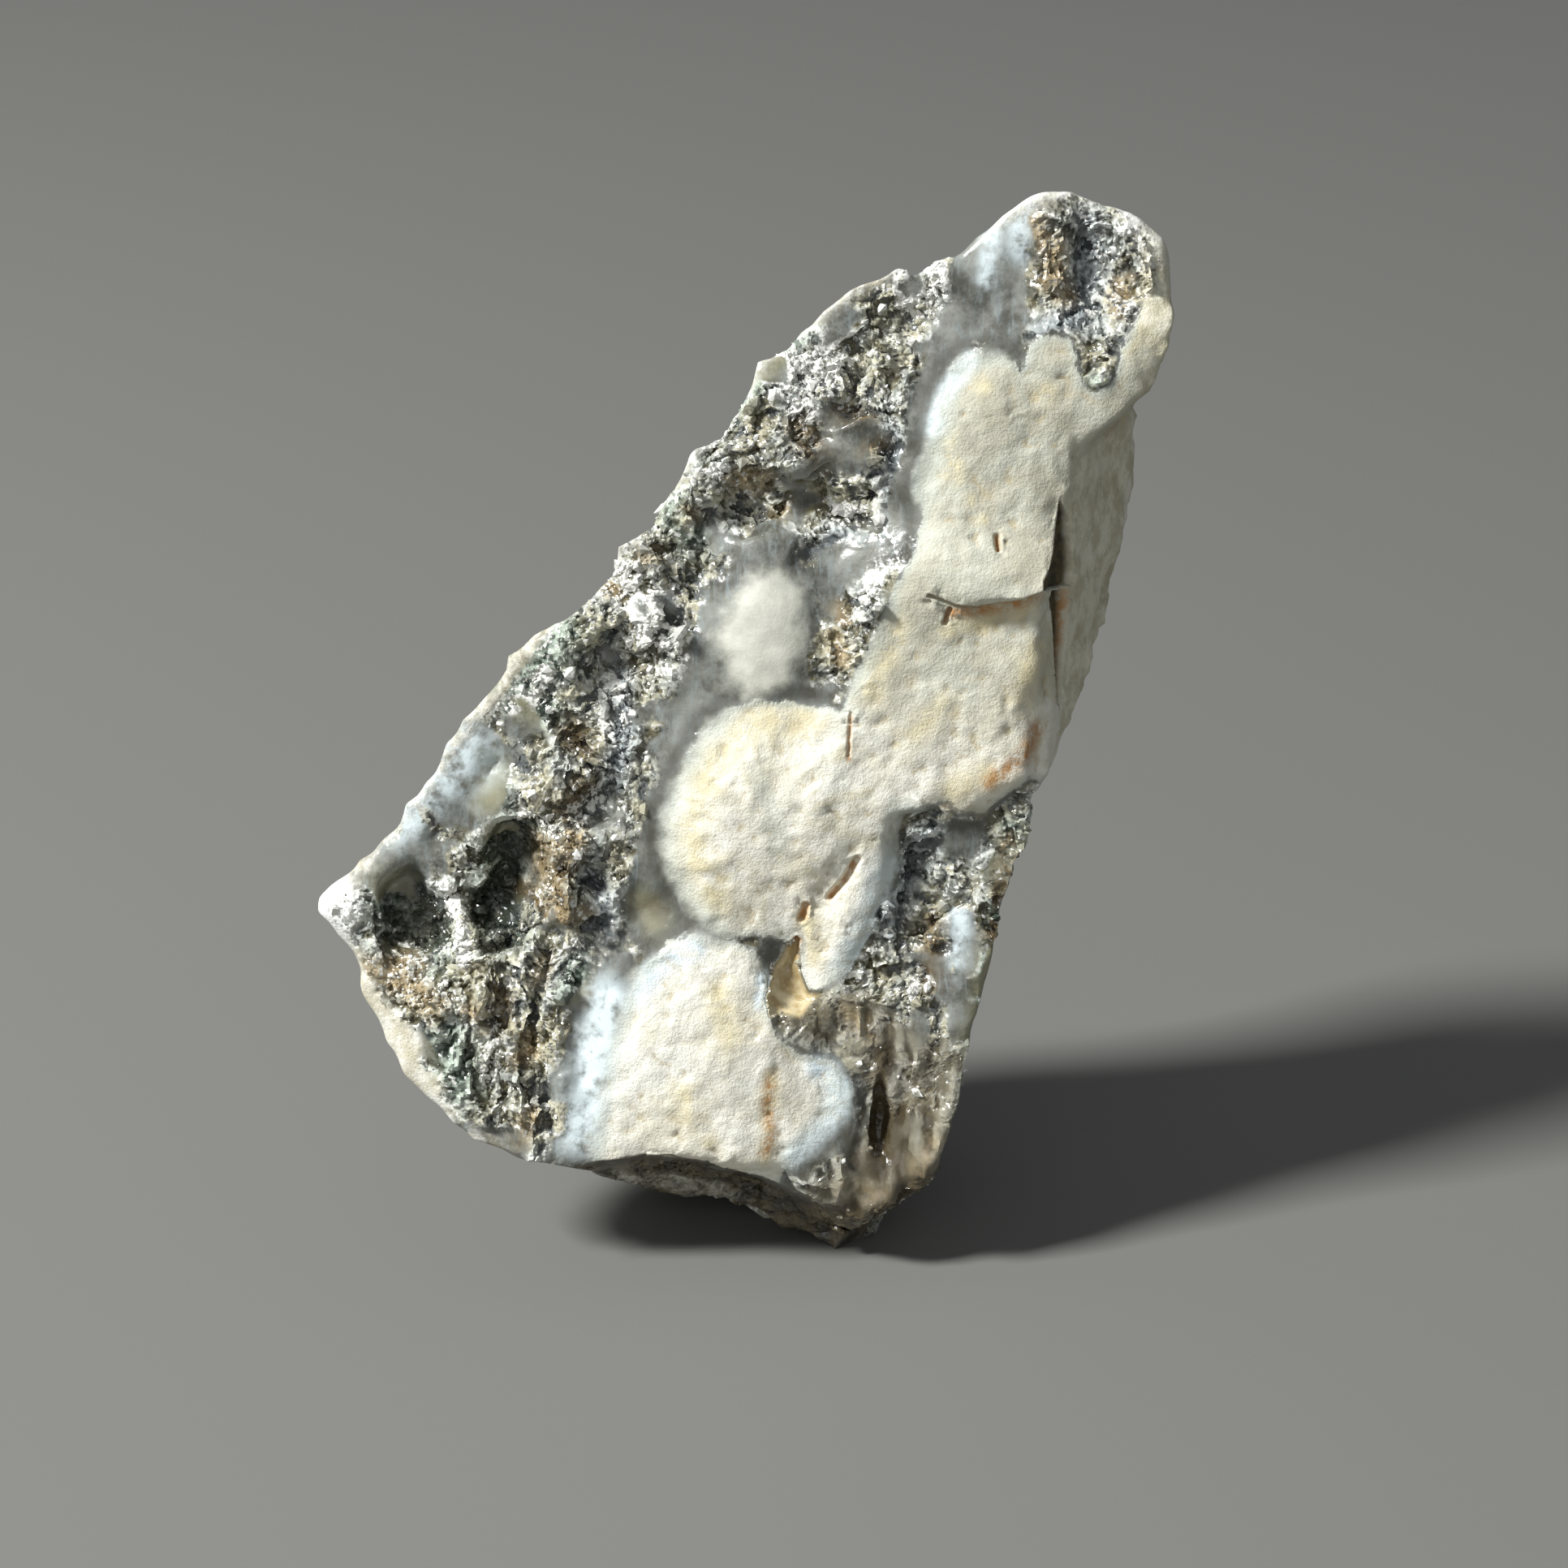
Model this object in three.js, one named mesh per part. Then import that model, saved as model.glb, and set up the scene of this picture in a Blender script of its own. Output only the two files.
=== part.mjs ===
// Ocean jasper: a rough, unpolished chip of banded chalcedony and cream jasper that stands on a
// small flat spot. Millimetres, +Z up, the front face towards -Y, the origin on the floor.
//
// The stone formed and broke as one piece, so it is one closed body. It is written as a signed
// field, negative inside the stone: an outline and a few break planes come first, then scoops,
// plates, pits and crystal facets change the field, and dual contouring turns it into faces,
// which keeps the sharp edges of the breaks.

import * as THREE from 'three';

const { clamp, degToRad, lerp, smoothstep } = THREE.MathUtils;

// ---- Driving dimensions -------------------------------------------------------------------

const CELL = 0.95; // edge of one meshing cell
const FLAT = 0.12; // vertices this near the floor lie on it, so that the rest spot is flat
const LEAN = degToRad(12); // the broken face leans back from upright
const FACE_FOOT = { y: -5, z: 1.5 }; // where x = 0, up = 0 of the broken face lies
const STONE_BOX = { min: [-24, -8, 0], max: [17, 21, 49] }; // room that the stone fills
const FOOT_CENTRE = { x: -1, y: 5 }; // the rest spot, moved to the origin in plan

// Positions on the stone are (x, up, deep): x to the right and up along the broken face, both
// measured from the foot, and deep going back into the stone from that face.

// The outline of the broken face, clockwise from the left tip. It runs on below the stone,
// because the underside and the floor cut it there.
const OUTLINE = [
  [-22.5, 14.9], [-22.0, 16.4], [-20.5, 17.9], [-18.4, 20.3], [-16.6, 22.9], [-15.0, 25.5],
  [-13.4, 26.9], [-11.5, 28.6], [-10.0, 30.1], [-9.2, 31.8], [-7.9, 33.2], [-5.8, 35.9],
  [-3.7, 38.7], [-1.0, 41.4], [0.9, 42.5], [2.4, 42.9], [4.0, 44.0], [5.5, 44.5], [7.2, 45.6],
  [8.9, 46.4], [10.3, 46.7], [12.7, 46.0], [14.0, 44.8], [14.9, 43.1], [15.0, 42.0],
  [14.6, 41.0], [14.7, 40.4], [13.9, 38.2], [13.9, 36.6], [13.6, 33.6], [12.9, 29.8],
  [12.2, 26.6], [11.8, 25.2], [10.6, 23.0], [9.5, 20.9], [8.7, 20.2], [8.4, 18.2], [7.5, 15.4],
  [7.2, 13.2], [6.3, 10.0], [5.7, 7.5], [5.2, 5.6], [4.6, 3.6], [4.2, -6], [-8, -6],
  [-14.4, 3.9], [-15.5, 4.7], [-17.0, 5.6], [-18.8, 7.2], [-19.7, 8.6], [-20.3, 10.3],
  [-21.0, 12.0], [-21.9, 13.6],
];

// How fast the stone narrows behind the broken face, as a slope for each stretch of its edge:
// [x, up] of a spot on the edge and the narrowing there.
const NARROWING = [
  { at: [-22, 15], slope: 0.75 },
  { at: [-16, 24], slope: 1.0 },
  { at: [-7, 34], slope: 1.15 },
  { at: [2, 43], slope: 0.95 },
  { at: [11, 46], slope: 0.7 },
  { at: [15, 41], slope: 0.3 },
  { at: [14, 37], slope: 0.02 },
  { at: [13, 33], slope: 0.02 },
  { at: [10, 22], slope: 0.02 },
  { at: [7.5, 14], slope: 0.12 },
  { at: [5, 3], slope: 0.1 },
  { at: [-15, 4], slope: 0.35 },
  { at: [-20, 9], slope: 0.6 },
];

// Break planes. Each is a point on the plane and its outward normal, as (x, up, deep).
const BREAKS = {
  back: { point: [-4, 18, 12.8], normal: [-0.1, 0.2, 1] },
  backLeft: { point: [-16, 14, 7.5], normal: [-0.75, 0.1, 1] },
  backTop: { point: [4, 38, 8.2], normal: [-0.25, 0.55, 1] },
  backRight: { point: [13, 27, 9.8], normal: [0.95, 0.12, 1] },
  backFoot: { point: [-1, 3, 14.2], normal: [0.1, -0.55, 1] },
  bottomLeft: { point: [-11.7, 3.6, 0], normal: [-0.33, -1, -0.08] },
  bottomRight: { point: [2.1, 1.3, 4], normal: [0.6, -1, 0] },
  footFront: { point: [1.9, 2.1, 0], normal: [0.46, -0.82, -0.35] },
  footSide: { point: [2.0, 0, 4], normal: [1, -0.1, -0.22] },
};

// The smooth facet on the right: the carved part lies outside `face` and below `top`.
const SIDE_FACET = {
  face: { point: [9.5, 26, 0], normal: [1, -0.09, -0.5] },
  top: { point: [10.3, 34.9, 0], normal: [-0.66, 0.75, 0.1] },
};

// Round break hollows: balls taken out of the stone.
const HOLLOWS = [
  { centre: [-6.5, -12.1, -11.4], radius: 20 }, // the arched underside behind the front lip
  { centre: [-9, 30, 23.6], radius: 16 }, // shell-shaped breaks across the back
  { centre: [5, 15, 35.4], radius: 24 },
  { centre: [-19.8, 9.4, 19.0], radius: 13.4 },
  { centre: [7, 40, 19.6], radius: 12 },
  { centre: [20.2, 12, 10], radius: 14 }, // a chip out of the right flank
];

// Domes and plates that stand proud of the broken face, and pits sunk in it. `rise` is their
// height, negative for a pit, and `reach` is the half-size along x and up, turned by `turn`.
const DOMES = [
  { at: [-3.4, 19.2], reach: [4.4, 5.4], turn: 0, rise: 1.05 }, // rounded cream bulge
  { at: [-2.6, 27.4], reach: [2.3, 3.4], turn: 20, rise: 0.75 }, // milky dome above it
  { at: [-5.4, 9.2], reach: [5.6, 6.4], turn: 0, rise: 0.7 }, // lower cream mass
  { at: [-11.4, 16.6], reach: [1.3, 2.6], turn: -8, rise: 1.1 }, // crusted knob in the hollow
  { at: [-16.4, 11.0], reach: [2.3, 1.6], turn: 15, rise: 0.8 }, // tan crust
  { at: [-12.2, 26.4], reach: [2.6, 2.4], turn: 40, rise: 0.5 }, // quartz knobs at the edge
  { at: [-1.2, 37.6], reach: [1.9, 2.6], turn: -40, rise: 0.5 },
  { at: [1.2, 36.0], reach: [1.4, 1.6], turn: 0, rise: 0.5 },
  { at: [-21.3, 15.2], reach: [1.5, 2.0], turn: -20, rise: 0.5 }, // white knob on the tip
  { at: [-14.0, 16.6], reach: [2.0, 3.4], turn: -24, rise: -1.9 }, // deep dark hollow
  { at: [-17.8, 14.4], reach: [2.0, 2.6], turn: 10, rise: -1.2 }, // shallow hollow beside it
  { at: [-1.2, 33.0], reach: [4.4, 1.5], turn: 0, rise: -1.0 }, // arched recess in the druse
  { at: [-1.7, 12.2], reach: [1.1, 1.9], turn: 25, rise: -1.1 }, // brown recess
  { at: [-7.6, 15.2], reach: [2.0, 1.6], turn: 20, rise: -0.5 }, // grey saddle
  { at: [0.4, 16.7], reach: [0.5, 1.7], turn: -40, rise: -0.6 }, // lens-shaped pit
  { at: [2.3, 5.2], reach: [1.2, 2.4], turn: 8, rise: -0.9 }, // hollow by the lower corner
  { at: [11.2, 42.4], reach: [1.5, 3.0], turn: 5, rise: -0.6 }, // dark hollow near the top
];

// Plates of cream jasper. They swell softly out of the face over `edge`, and break off in a
// sharp step along each cut, which is a stretch of line with the plate on its left.
const PLATES = [
  {
    rise: 0.85, // upper plate, whose lower edge is a straight crack
    edge: 2,
    outline: [[4.6, 27.6], [6, 24], [10.4, 24], [12, 35], [14.6, 38], [15.5, 41.5], [9.6, 40.6],
      [6.4, 39.4], [4.4, 37], [3.6, 34], [3.6, 30]],
    cuts: [[[4.2, 28.4], [9.8, 29.0]], [[9.4, 28.0], [9.9, 32.6]]],
  },
  {
    rise: 0.8, // middle plate, which ends in a ledge above the grey band
    edge: 1.3,
    outline: [[1.2, 31], [11, 31], [11, 18.5], [3.4, 18.6], [2.2, 16.5], [1.4, 13.8], [0, 13],
      [-1.5, 20.5], [0.4, 25.5]],
    cuts: [[[2.9, 19.5], [5.8, 19.7]], [[5.2, 19.5], [8.7, 21.1]], [[8.5, 20], [9.3, 28.6]]],
  },
  {
    rise: 0.55, // scalloped plate by the lower right edge
    edge: 0.5,
    outline: [[1.6, 11.2], [3.6, 9.6], [4.4, 6], [3.4, 3.2], [5.2, 3], [6.6, 10], [6.9, 13.4],
      [4.8, 12.8]],
    cuts: [],
  },
];
const STEP = { half: 0.22, fade: 0.8 }; // half-width of a broken step, and how fast its ends fade

// Upright ribs and grooves in the lower left of the face.
const RIBS = { x: [-15.4, -11.2], up: [4.4, 13.6], pitch: 1.9, height: 0.3, sway: 1.3 };

// The face is bowed: it falls back to both sides of its middle, and swells a little.
const BOW = { middle: -2, left: 0.0036, right: 0.0045 };
const SWELL = { height: 0.16, length: 5.5 };

// Quartz druse: flat-faced crystals over the upper left of the face and down its left side.
const DRUSE = { size: 2.3, height: 0.5, sunk: 0.2 };
const DRUSE_PATCHES = [
  [[-9, 31], [-0.5, 40.8], [4.2, 43.4], [3.4, 35], [2.6, 30.5], [1.2, 26], [-0.2, 30.2],
    [-5, 30], [-6, 26], [-8.6, 20.5], [-9.4, 15.5], [-12, 13.5], [-19.6, 12.2], [-19.6, 17],
    [-15.4, 21.4], [-13.6, 26.2]],
  [[2.9, 18.8], [8, 19.4], [7.4, 13.4], [6, 9], [4.4, 9.4], [3, 13.5]],
];
const ROUGHNESS = { size: 3.3, height: 0.5, smoothest: 0.15, patch: 7 }; // break facets elsewhere

// ---- Small helpers ------------------------------------------------------------------------

const planeDistance = ({ point, normal }, p) => {
  const length = Math.hypot(...normal);
  return normal.reduce((sum, n, i) => sum + n * (p[i] - point[i]), 0) / length;
};

const hash = ([i, j, k], salt) => {
  const value = Math.sin(i * 127.1 + j * 311.7 + k * 74.7 + salt * 19.19) * 43758.5453;
  return value - Math.floor(value);
};

// Signed distance to a closed polygon, negative inside it.
function polygonDistance(polygon, x, y) {
  let nearest = Infinity;
  let inside = false;
  polygon.forEach(([bx, by], i) => {
    const [ax, ay] = polygon[(i + polygon.length - 1) % polygon.length];
    const ex = bx - ax;
    const ey = by - ay;
    const t = clamp(((x - ax) * ex + (y - ay) * ey) / (ex * ex + ey * ey), 0, 1);
    nearest = Math.min(nearest, Math.hypot(x - ax - t * ex, y - ay - t * ey));
    if (ay > y !== by > y && x < ax + ((y - ay) * ex) / ey) inside = !inside;
  });
  return inside ? -nearest : nearest;
}

// Flat facets over 3-D cells: each cell has one tilted plane, so neighbours meet in sharp steps.
function facets(p, size, salt) {
  const q = p.map((value) => value / size);
  const base = q.map(Math.floor);
  let nearest = { distance: Infinity };
  for (let n = 0; n < 27; n += 1) {
    const step = [n % 3, Math.floor(n / 3) % 3, Math.floor(n / 9)];
    const cell = base.map((value, i) => value + step[i] - 1);
    const dx = q[0] - cell[0] - hash(cell, salt);
    const dy = q[1] - cell[1] - hash(cell, salt + 1);
    const dz = q[2] - cell[2] - hash(cell, salt + 2);
    const distance = dx * dx + dy * dy + dz * dz;
    if (distance < nearest.distance) nearest = { distance, cell, offset: [dx, dy, dz] };
  }
  const { cell, offset } = nearest;
  const tilt = offset.reduce((sum, o, axis) => sum + o * (hash(cell, salt + 5 + axis) - 0.5), 0);
  return hash(cell, salt + 9) - 0.5 + 1.5 * tilt;
}

// ---- The broken face ----------------------------------------------------------------------

// A smooth mound inside an ellipse: 1 in its middle and 0 at its rim.
function mound({ at, reach, turn }, x, up) {
  const angle = degToRad(turn);
  const dx = x - at[0];
  const dy = up - at[1];
  const u = (dx * Math.cos(angle) + dy * Math.sin(angle)) / reach[0];
  const v = (dy * Math.cos(angle) - dx * Math.sin(angle)) / reach[1];
  return Math.max(0, 1 - u * u - v * v) ** 1.2;
}

// 1 on the left of a cut, 0 on its right, and 1 again past its ends.
function besideCut([[ax, ay], [bx, by]], x, y) {
  const length = Math.hypot(bx - ax, by - ay);
  const left = ((bx - ax) * (y - ay) - (by - ay) * (x - ax)) / length;
  const along = ((bx - ax) * (x - ax) + (by - ay) * (y - ay)) / length;
  const inReach = smoothstep(Math.min(along, length - along), -STEP.fade, 0);
  return lerp(1, smoothstep(left, -STEP.half, STEP.half), inReach);
}

function plateRise({ outline, rise, edge, cuts }, x, up) {
  const swell = smoothstep(-polygonDistance(outline, x, up), -edge, edge);
  return cuts.reduce((height, cut) => height * besideCut(cut, x, up), rise * swell);
}

function ribs(x, up) {
  const across = smoothstep(x, RIBS.x[0], RIBS.x[0] + 1) * smoothstep(-x, -RIBS.x[1] - 1, -RIBS.x[1]);
  const along = smoothstep(up, RIBS.up[0], RIBS.up[0] + 1) * smoothstep(-up, -RIBS.up[1] - 1, -RIBS.up[1]);
  const phase = (2 * Math.PI * (x - RIBS.x[0])) / RIBS.pitch + RIBS.sway * Math.sin(up * 0.8);
  return RIBS.height * across * along * Math.cos(phase);
}

// How far the bare face lies behind its plane, before anything stands on it.
function faceDepth(x, up) {
  const off = x - BOW.middle;
  const bow = (off < 0 ? BOW.left : BOW.right) * off * off;
  const wave = Math.sin(x / SWELL.length + 1) + Math.sin((x + 2 * up) / (2 * SWELL.length));
  return bow + SWELL.height * wave;
}

const druseAmount = (x, up) =>
  Math.max(...DRUSE_PATCHES.map((patch) => smoothstep(-polygonDistance(patch, x, up), -0.6, 0.9)));

// Height of the face above its plane, in mm towards the front.
function faceRise(x, up) {
  const domes = DOMES.reduce((sum, dome) => sum + dome.rise * mound(dome, x, up), 0);
  const plates = PLATES.reduce((sum, plate) => sum + plateRise(plate, x, up), 0);
  return domes + plates + ribs(x, up) - faceDepth(x, up);
}

// ---- The whole stone ----------------------------------------------------------------------

function narrowingAt(x, up) {
  let total = 0;
  let weights = 0;
  NARROWING.forEach(({ at, slope }) => {
    const weight = 1 / ((x - at[0]) ** 2 + (up - at[1]) ** 2 + 1) ** 2;
    total += weight * slope;
    weights += weight;
  });
  return total / weights;
}

function facetOnTheSide(p) {
  const beyond = planeDistance(SIDE_FACET.face, p);
  const below = -planeDistance(SIDE_FACET.top, p);
  return Math.min(beyond, below);
}

function footStep(p) {
  return Math.min(planeDistance(BREAKS.bottomRight, p), planeDistance(BREAKS.footSide, p));
}

// The broken surface is rough in some patches and nearly smooth between them.
function breakage(p) {
  const [a, b, c] = p.map((value) => value / ROUGHNESS.patch);
  const patch = Math.sin(a * 2 + Math.sin(b * 3)) + Math.sin(b * 2.4 + c * 1.5) + Math.sin(c * 2.2 - a);
  const amount = lerp(ROUGHNESS.smoothest, 1, smoothstep(patch, -0.4, 1.1));
  return 2 * ROUGHNESS.height * amount * facets(p, ROUGHNESS.size, 41);
}

const crystals = (p) => 2 * DRUSE.height * facets(p, DRUSE.size, 3) - DRUSE.sunk;

// Signed field of the stone at (x, up, deep), before the floor cuts it.
function stoneField(p) {
  const [x, up, deep] = p;
  const sideFacet = facetOnTheSide(p);
  const druse = druseAmount(x, up) * smoothstep(-deep, -4, -1.5);
  const rough = lerp(breakage(p) * smoothstep(-sideFacet, 0.4, 2), crystals(p), druse);
  const front = -deep - faceRise(x, up);
  const behind = Math.max(0, deep - faceDepth(x, up));
  const edge = polygonDistance(OUTLINE, x, up) + narrowingAt(x, up) * behind;
  const onFront = rough * lerp(0.15, 1, Math.max(druse, smoothstep(deep, 1.5, 4)));
  const onFlank = rough * lerp(0.1, 1, smoothstep(deep, 1.5, 4));
  const { back, backLeft, backTop, backRight, backFoot, bottomLeft, footFront } = BREAKS;
  const planes = [back, backLeft, backTop, backRight, backFoot, bottomLeft, footFront];
  const reach = (centre) => Math.hypot(...p.map((value, i) => value - centre[i]));
  const hollows = HOLLOWS.map(({ centre, radius }) => radius - reach(centre));
  return Math.max(
    front - onFront * smoothstep(-edge, 0.2, 1.8),
    edge - onFlank,
    ...planes.map((plane) => planeDistance(plane, p) - rough),
    ...hollows.map((hollow) => hollow - 0.5 * rough),
    sideFacet,
    footStep(p),
  );
}

function toFace([x, y, z]) {
  const dy = y - FACE_FOOT.y;
  const dz = z - FACE_FOOT.z;
  return [x, dy * Math.sin(LEAN) + dz * Math.cos(LEAN), dy * Math.cos(LEAN) - dz * Math.sin(LEAN)];
}

const field = (p) => Math.max(stoneField(toFace(p)), -p[2]);

// ---- Dual contouring ----------------------------------------------------------------------

function gradient(p) {
  const step = 0.02;
  const slope = [0, 1, 2].map((axis) => {
    const ahead = p.slice();
    const behind = p.slice();
    ahead[axis] += step;
    behind[axis] -= step;
    return field(ahead) - field(behind);
  });
  const length = Math.hypot(...slope) || 1;
  return slope.map((value) => value / length);
}

// The point of a grid edge where the field changes sign, by bisection.
function crossing(a, b, insideA) {
  let low = a;
  let high = b;
  for (let step = 0; step < 12; step += 1) {
    const middle = low.map((value, i) => (value + high[i]) / 2);
    if (field(middle) < 0 === insideA) low = middle;
    else high = middle;
  }
  return low;
}

// The point nearest to every tangent plane of a cell, pulled a little towards their middle.
function cellVertex(planes, low, high) {
  const pull = 0.05;
  const total = (i) => planes.reduce((sum, { point }) => sum + point[i], 0);
  const middle = [0, 1, 2].map((i) => total(i) / planes.length);
  const m = new THREE.Matrix3().set(pull, 0, 0, 0, pull, 0, 0, 0, pull);
  const right = new THREE.Vector3();
  planes.forEach(({ point, normal: n }) => {
    const offset = n.reduce((sum, value, i) => sum + value * (point[i] - middle[i]), 0);
    n.forEach((a, row) => n.forEach((b, column) => {
      m.elements[column * 3 + row] += a * b;
    }));
    right.addScaledVector(new THREE.Vector3(...n), offset);
  });
  const solved = right.applyMatrix3(m.invert()).toArray();
  const vertex = solved.map((value, i) => clamp(value + middle[i], low[i], high[i]));
  if (vertex[2] < FLAT) vertex[2] = 0;
  return vertex;
}

// A regular grid over the stone, with the field's sign at every node.
function sampleGrid() {
  const { min, max } = STONE_BOX;
  const start = [min[0], min[1], min[2] - CELL / 2];
  const count = start.map((value, axis) => Math.ceil((max[axis] - value) / CELL) + 1);
  const node = (i, j, k) => (k * count[1] + j) * count[0] + i;
  const at = (i, j, k) => [start[0] + i * CELL, start[1] + j * CELL, start[2] + k * CELL];
  const values = new Float64Array(count[0] * count[1] * count[2]);
  for (let k = 0; k < count[2]; k += 1) {
    for (let j = 0; j < count[1]; j += 1) {
      for (let i = 0; i < count[0]; i += 1) values[node(i, j, k)] = field(at(i, j, k));
    }
  }
  return { count, node, at, values };
}

const UNIT = [[1, 0, 0], [0, 1, 0], [0, 0, 1]];
const shifted = (c, axis, by = 1) => c.map((value, i) => value + by * UNIT[axis][i]);

// Visit every grid position that has `room[axis]` more nodes ahead of it along each axis.
function forEachNode(count, room, visit) {
  for (let k = 0; k < count[2] - room[2]; k += 1) {
    for (let j = 0; j < count[1] - room[1]; j += 1) {
      for (let i = 0; i < count[0] - room[0]; i += 1) visit([i, j, k]);
    }
  }
}

// A grid face whose diagonal nodes agree but whose neighbours differ could be joined two ways.
// Its outer node that lies nearest the surface is taken in, until no such face is left.
function settleFaces({ count, node, values }) {
  let changed = true;
  while (changed) {
    changed = false;
    for (let axis = 0; axis < 3; axis += 1) {
      const [u, v] = [(axis + 1) % 3, (axis + 2) % 3];
      const room = UNIT[u].map((value, i) => value + UNIT[v][i]);
      forEachNode(count, room, (c) => {
        const ring = [c, shifted(c, u), shifted(shifted(c, u), v), shifted(c, v)].map((n) => node(...n));
        const inside = ring.map((n) => values[n] < 0);
        if (inside[0] !== inside[2] || inside[1] !== inside[3] || inside[0] === inside[1]) return;
        const outer = ring.filter((n) => values[n] >= 0).sort((a, b) => values[a] - values[b]);
        values[outer[0]] = -1e-6;
        changed = true;
      });
    }
  }
}

// The corners of a cell that are joined along its edges and lie on the same side, by number.
function cornerGroups(inside) {
  const group = inside.map((_, corner) => corner);
  for (let pass = 0; pass < 4; pass += 1) {
    for (let corner = 0; corner < 8; corner += 1) {
      for (const bit of [1, 2, 4]) {
        const other = corner ^ bit;
        if (inside[corner] === inside[other]) group[corner] = Math.min(group[corner], group[other]);
      }
    }
  }
  return group;
}

// One vertex for each sheet of the surface that passes through a cell.
function cellSheets(grid, c) {
  const step = (n) => [n & 1, (n >> 1) & 1, n >> 2];
  const corners = Array.from({ length: 8 }, (_, n) => step(n).map((value, i) => c[i] + value));
  const inside = corners.map((corner) => grid.values[grid.node(...corner)] < 0);
  if (inside.every(Boolean) || !inside.some(Boolean)) return null;
  const group = cornerGroups(inside);
  const sheets = new Map();
  for (let corner = 0; corner < 8; corner += 1) {
    for (const bit of [1, 2, 4]) {
      const other = corner | bit;
      if (other === corner || inside[corner] === inside[other]) continue;
      const key = [group[corner], group[other]].sort().join();
      const point = crossing(grid.at(...corners[corner]), grid.at(...corners[other]), inside[corner]);
      if (!sheets.has(key)) sheets.set(key, { planes: [], edges: [] });
      sheets.get(key).planes.push({ point, normal: gradient(point) });
      sheets.get(key).edges.push(`${corners[corner]}|${bit}`);
    }
  }
  const margin = CELL * 0.04;
  const low = grid.at(...c).map((value) => value + margin);
  const high = low.map((value) => value + CELL - 2 * margin);
  return [...sheets.values()].map(({ planes, edges }) => {
    return { edges, vertex: cellVertex(planes, low, high) };
  });
}

// Each quad is cut along the diagonal that lies closer to the surface.
function splitQuad(quad, vertices) {
  const halfWay = (a, b) => vertices[a].map((value, i) => (value + vertices[b][i]) / 2);
  const offSurface = (a, b) => Math.abs(field(halfWay(a, b)));
  const [a, b, c, d] = quad;
  if (offSurface(a, c) <= offSurface(b, d)) return [a, b, c, a, c, d];
  return [a, b, d, b, c, d];
}

function meshStone() {
  const grid = sampleGrid();
  settleFaces(grid);
  const vertices = [];
  const vertexOf = new Map(); // a cell and one of its crossed edges give a vertex
  forEachNode(grid.count, [1, 1, 1], (c) => {
    (cellSheets(grid, c) ?? []).forEach(({ edges, vertex }) => {
      edges.forEach((edge) => vertexOf.set(`${c}/${edge}`, vertices.length));
      vertices.push(vertex);
    });
  });
  const triangles = [];
  for (let axis = 0; axis < 3; axis += 1) {
    const [u, v] = [(axis + 1) % 3, (axis + 2) % 3];
    forEachNode(grid.count, UNIT[axis], (c) => {
      const starts = grid.values[grid.node(...c)] < 0;
      if (starts === grid.values[grid.node(...shifted(c, axis))] < 0) return;
      const ring = [c, shifted(c, u, -1), shifted(shifted(c, u, -1), v, -1), shifted(c, v, -1)];
      const quad = ring.map((cell) => vertexOf.get(`${cell}/${c}|${1 << axis}`));
      triangles.push(...splitQuad(starts ? quad : quad.reverse(), vertices));
    });
  }
  return { vertices, triangles };
}

// ---- The part -----------------------------------------------------------------------------

function stoneGeometry() {
  const { vertices, triangles } = meshStone();
  const placed = vertices.flatMap(([x, y, z]) => [x - FOOT_CENTRE.x, y - FOOT_CENTRE.y, z]);
  const geometry = new THREE.BufferGeometry();
  geometry.setAttribute('position', new THREE.Float32BufferAttribute(placed, 3));
  geometry.setIndex(triangles);
  geometry.computeVertexNormals();
  return geometry;
}

const chalcedony = new THREE.MeshStandardMaterial({ color: 0xb9b3a3, roughness: 0.6, metalness: 0 });
const stone = new THREE.Mesh(stoneGeometry(), chalcedony);
stone.name = 'ocean_jasper';

const oceanJasper = new THREE.Group();
oceanJasper.add(stone);

export default oceanJasper;
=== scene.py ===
# %% [markdown]
# # A rough chip of ocean jasper
# The stone is one piece of broken silica: cream jasper, grey banded chalcedony and sparkling
# quartz druse that grew together. Its size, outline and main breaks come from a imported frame,
# and these cells give it the fine surface, the crystals and the colours.

# %% Load the frame
import math

import bpy
import numpy as np
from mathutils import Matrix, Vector


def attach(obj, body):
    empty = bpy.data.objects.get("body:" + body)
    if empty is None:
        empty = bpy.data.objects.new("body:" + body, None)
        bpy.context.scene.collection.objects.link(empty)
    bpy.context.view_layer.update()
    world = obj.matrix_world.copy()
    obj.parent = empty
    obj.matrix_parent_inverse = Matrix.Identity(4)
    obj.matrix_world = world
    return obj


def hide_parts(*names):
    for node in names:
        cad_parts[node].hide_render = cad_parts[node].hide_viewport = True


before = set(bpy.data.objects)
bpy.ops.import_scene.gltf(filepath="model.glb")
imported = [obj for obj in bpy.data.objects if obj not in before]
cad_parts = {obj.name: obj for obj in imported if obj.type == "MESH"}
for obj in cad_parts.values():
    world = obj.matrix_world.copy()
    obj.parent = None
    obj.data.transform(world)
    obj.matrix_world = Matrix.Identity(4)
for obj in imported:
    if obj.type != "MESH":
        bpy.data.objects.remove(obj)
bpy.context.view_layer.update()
MM = 0.001

# %% [markdown]
# ## Where things are on the stone
# It helps to describe a broken face the way a person points at it: so far to the right, so far
# up, so far deep. The face leans back a little, so its own axes are a turned copy of the
# frame's. All sizes below are in millimetres along these axes, measured from the foot.

# %% The face's own axes
LEAN = math.radians(12)
FACE_FOOT = np.array([1.0, -10.0, 1.5])  # where the face's x = 0, up = 0 lies in the frame
FACE_AXES = np.array([
    [1, 0, 0],
    [0, math.sin(LEAN), math.cos(LEAN)],
    [0, math.cos(LEAN), -math.sin(LEAN)],
])


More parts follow.
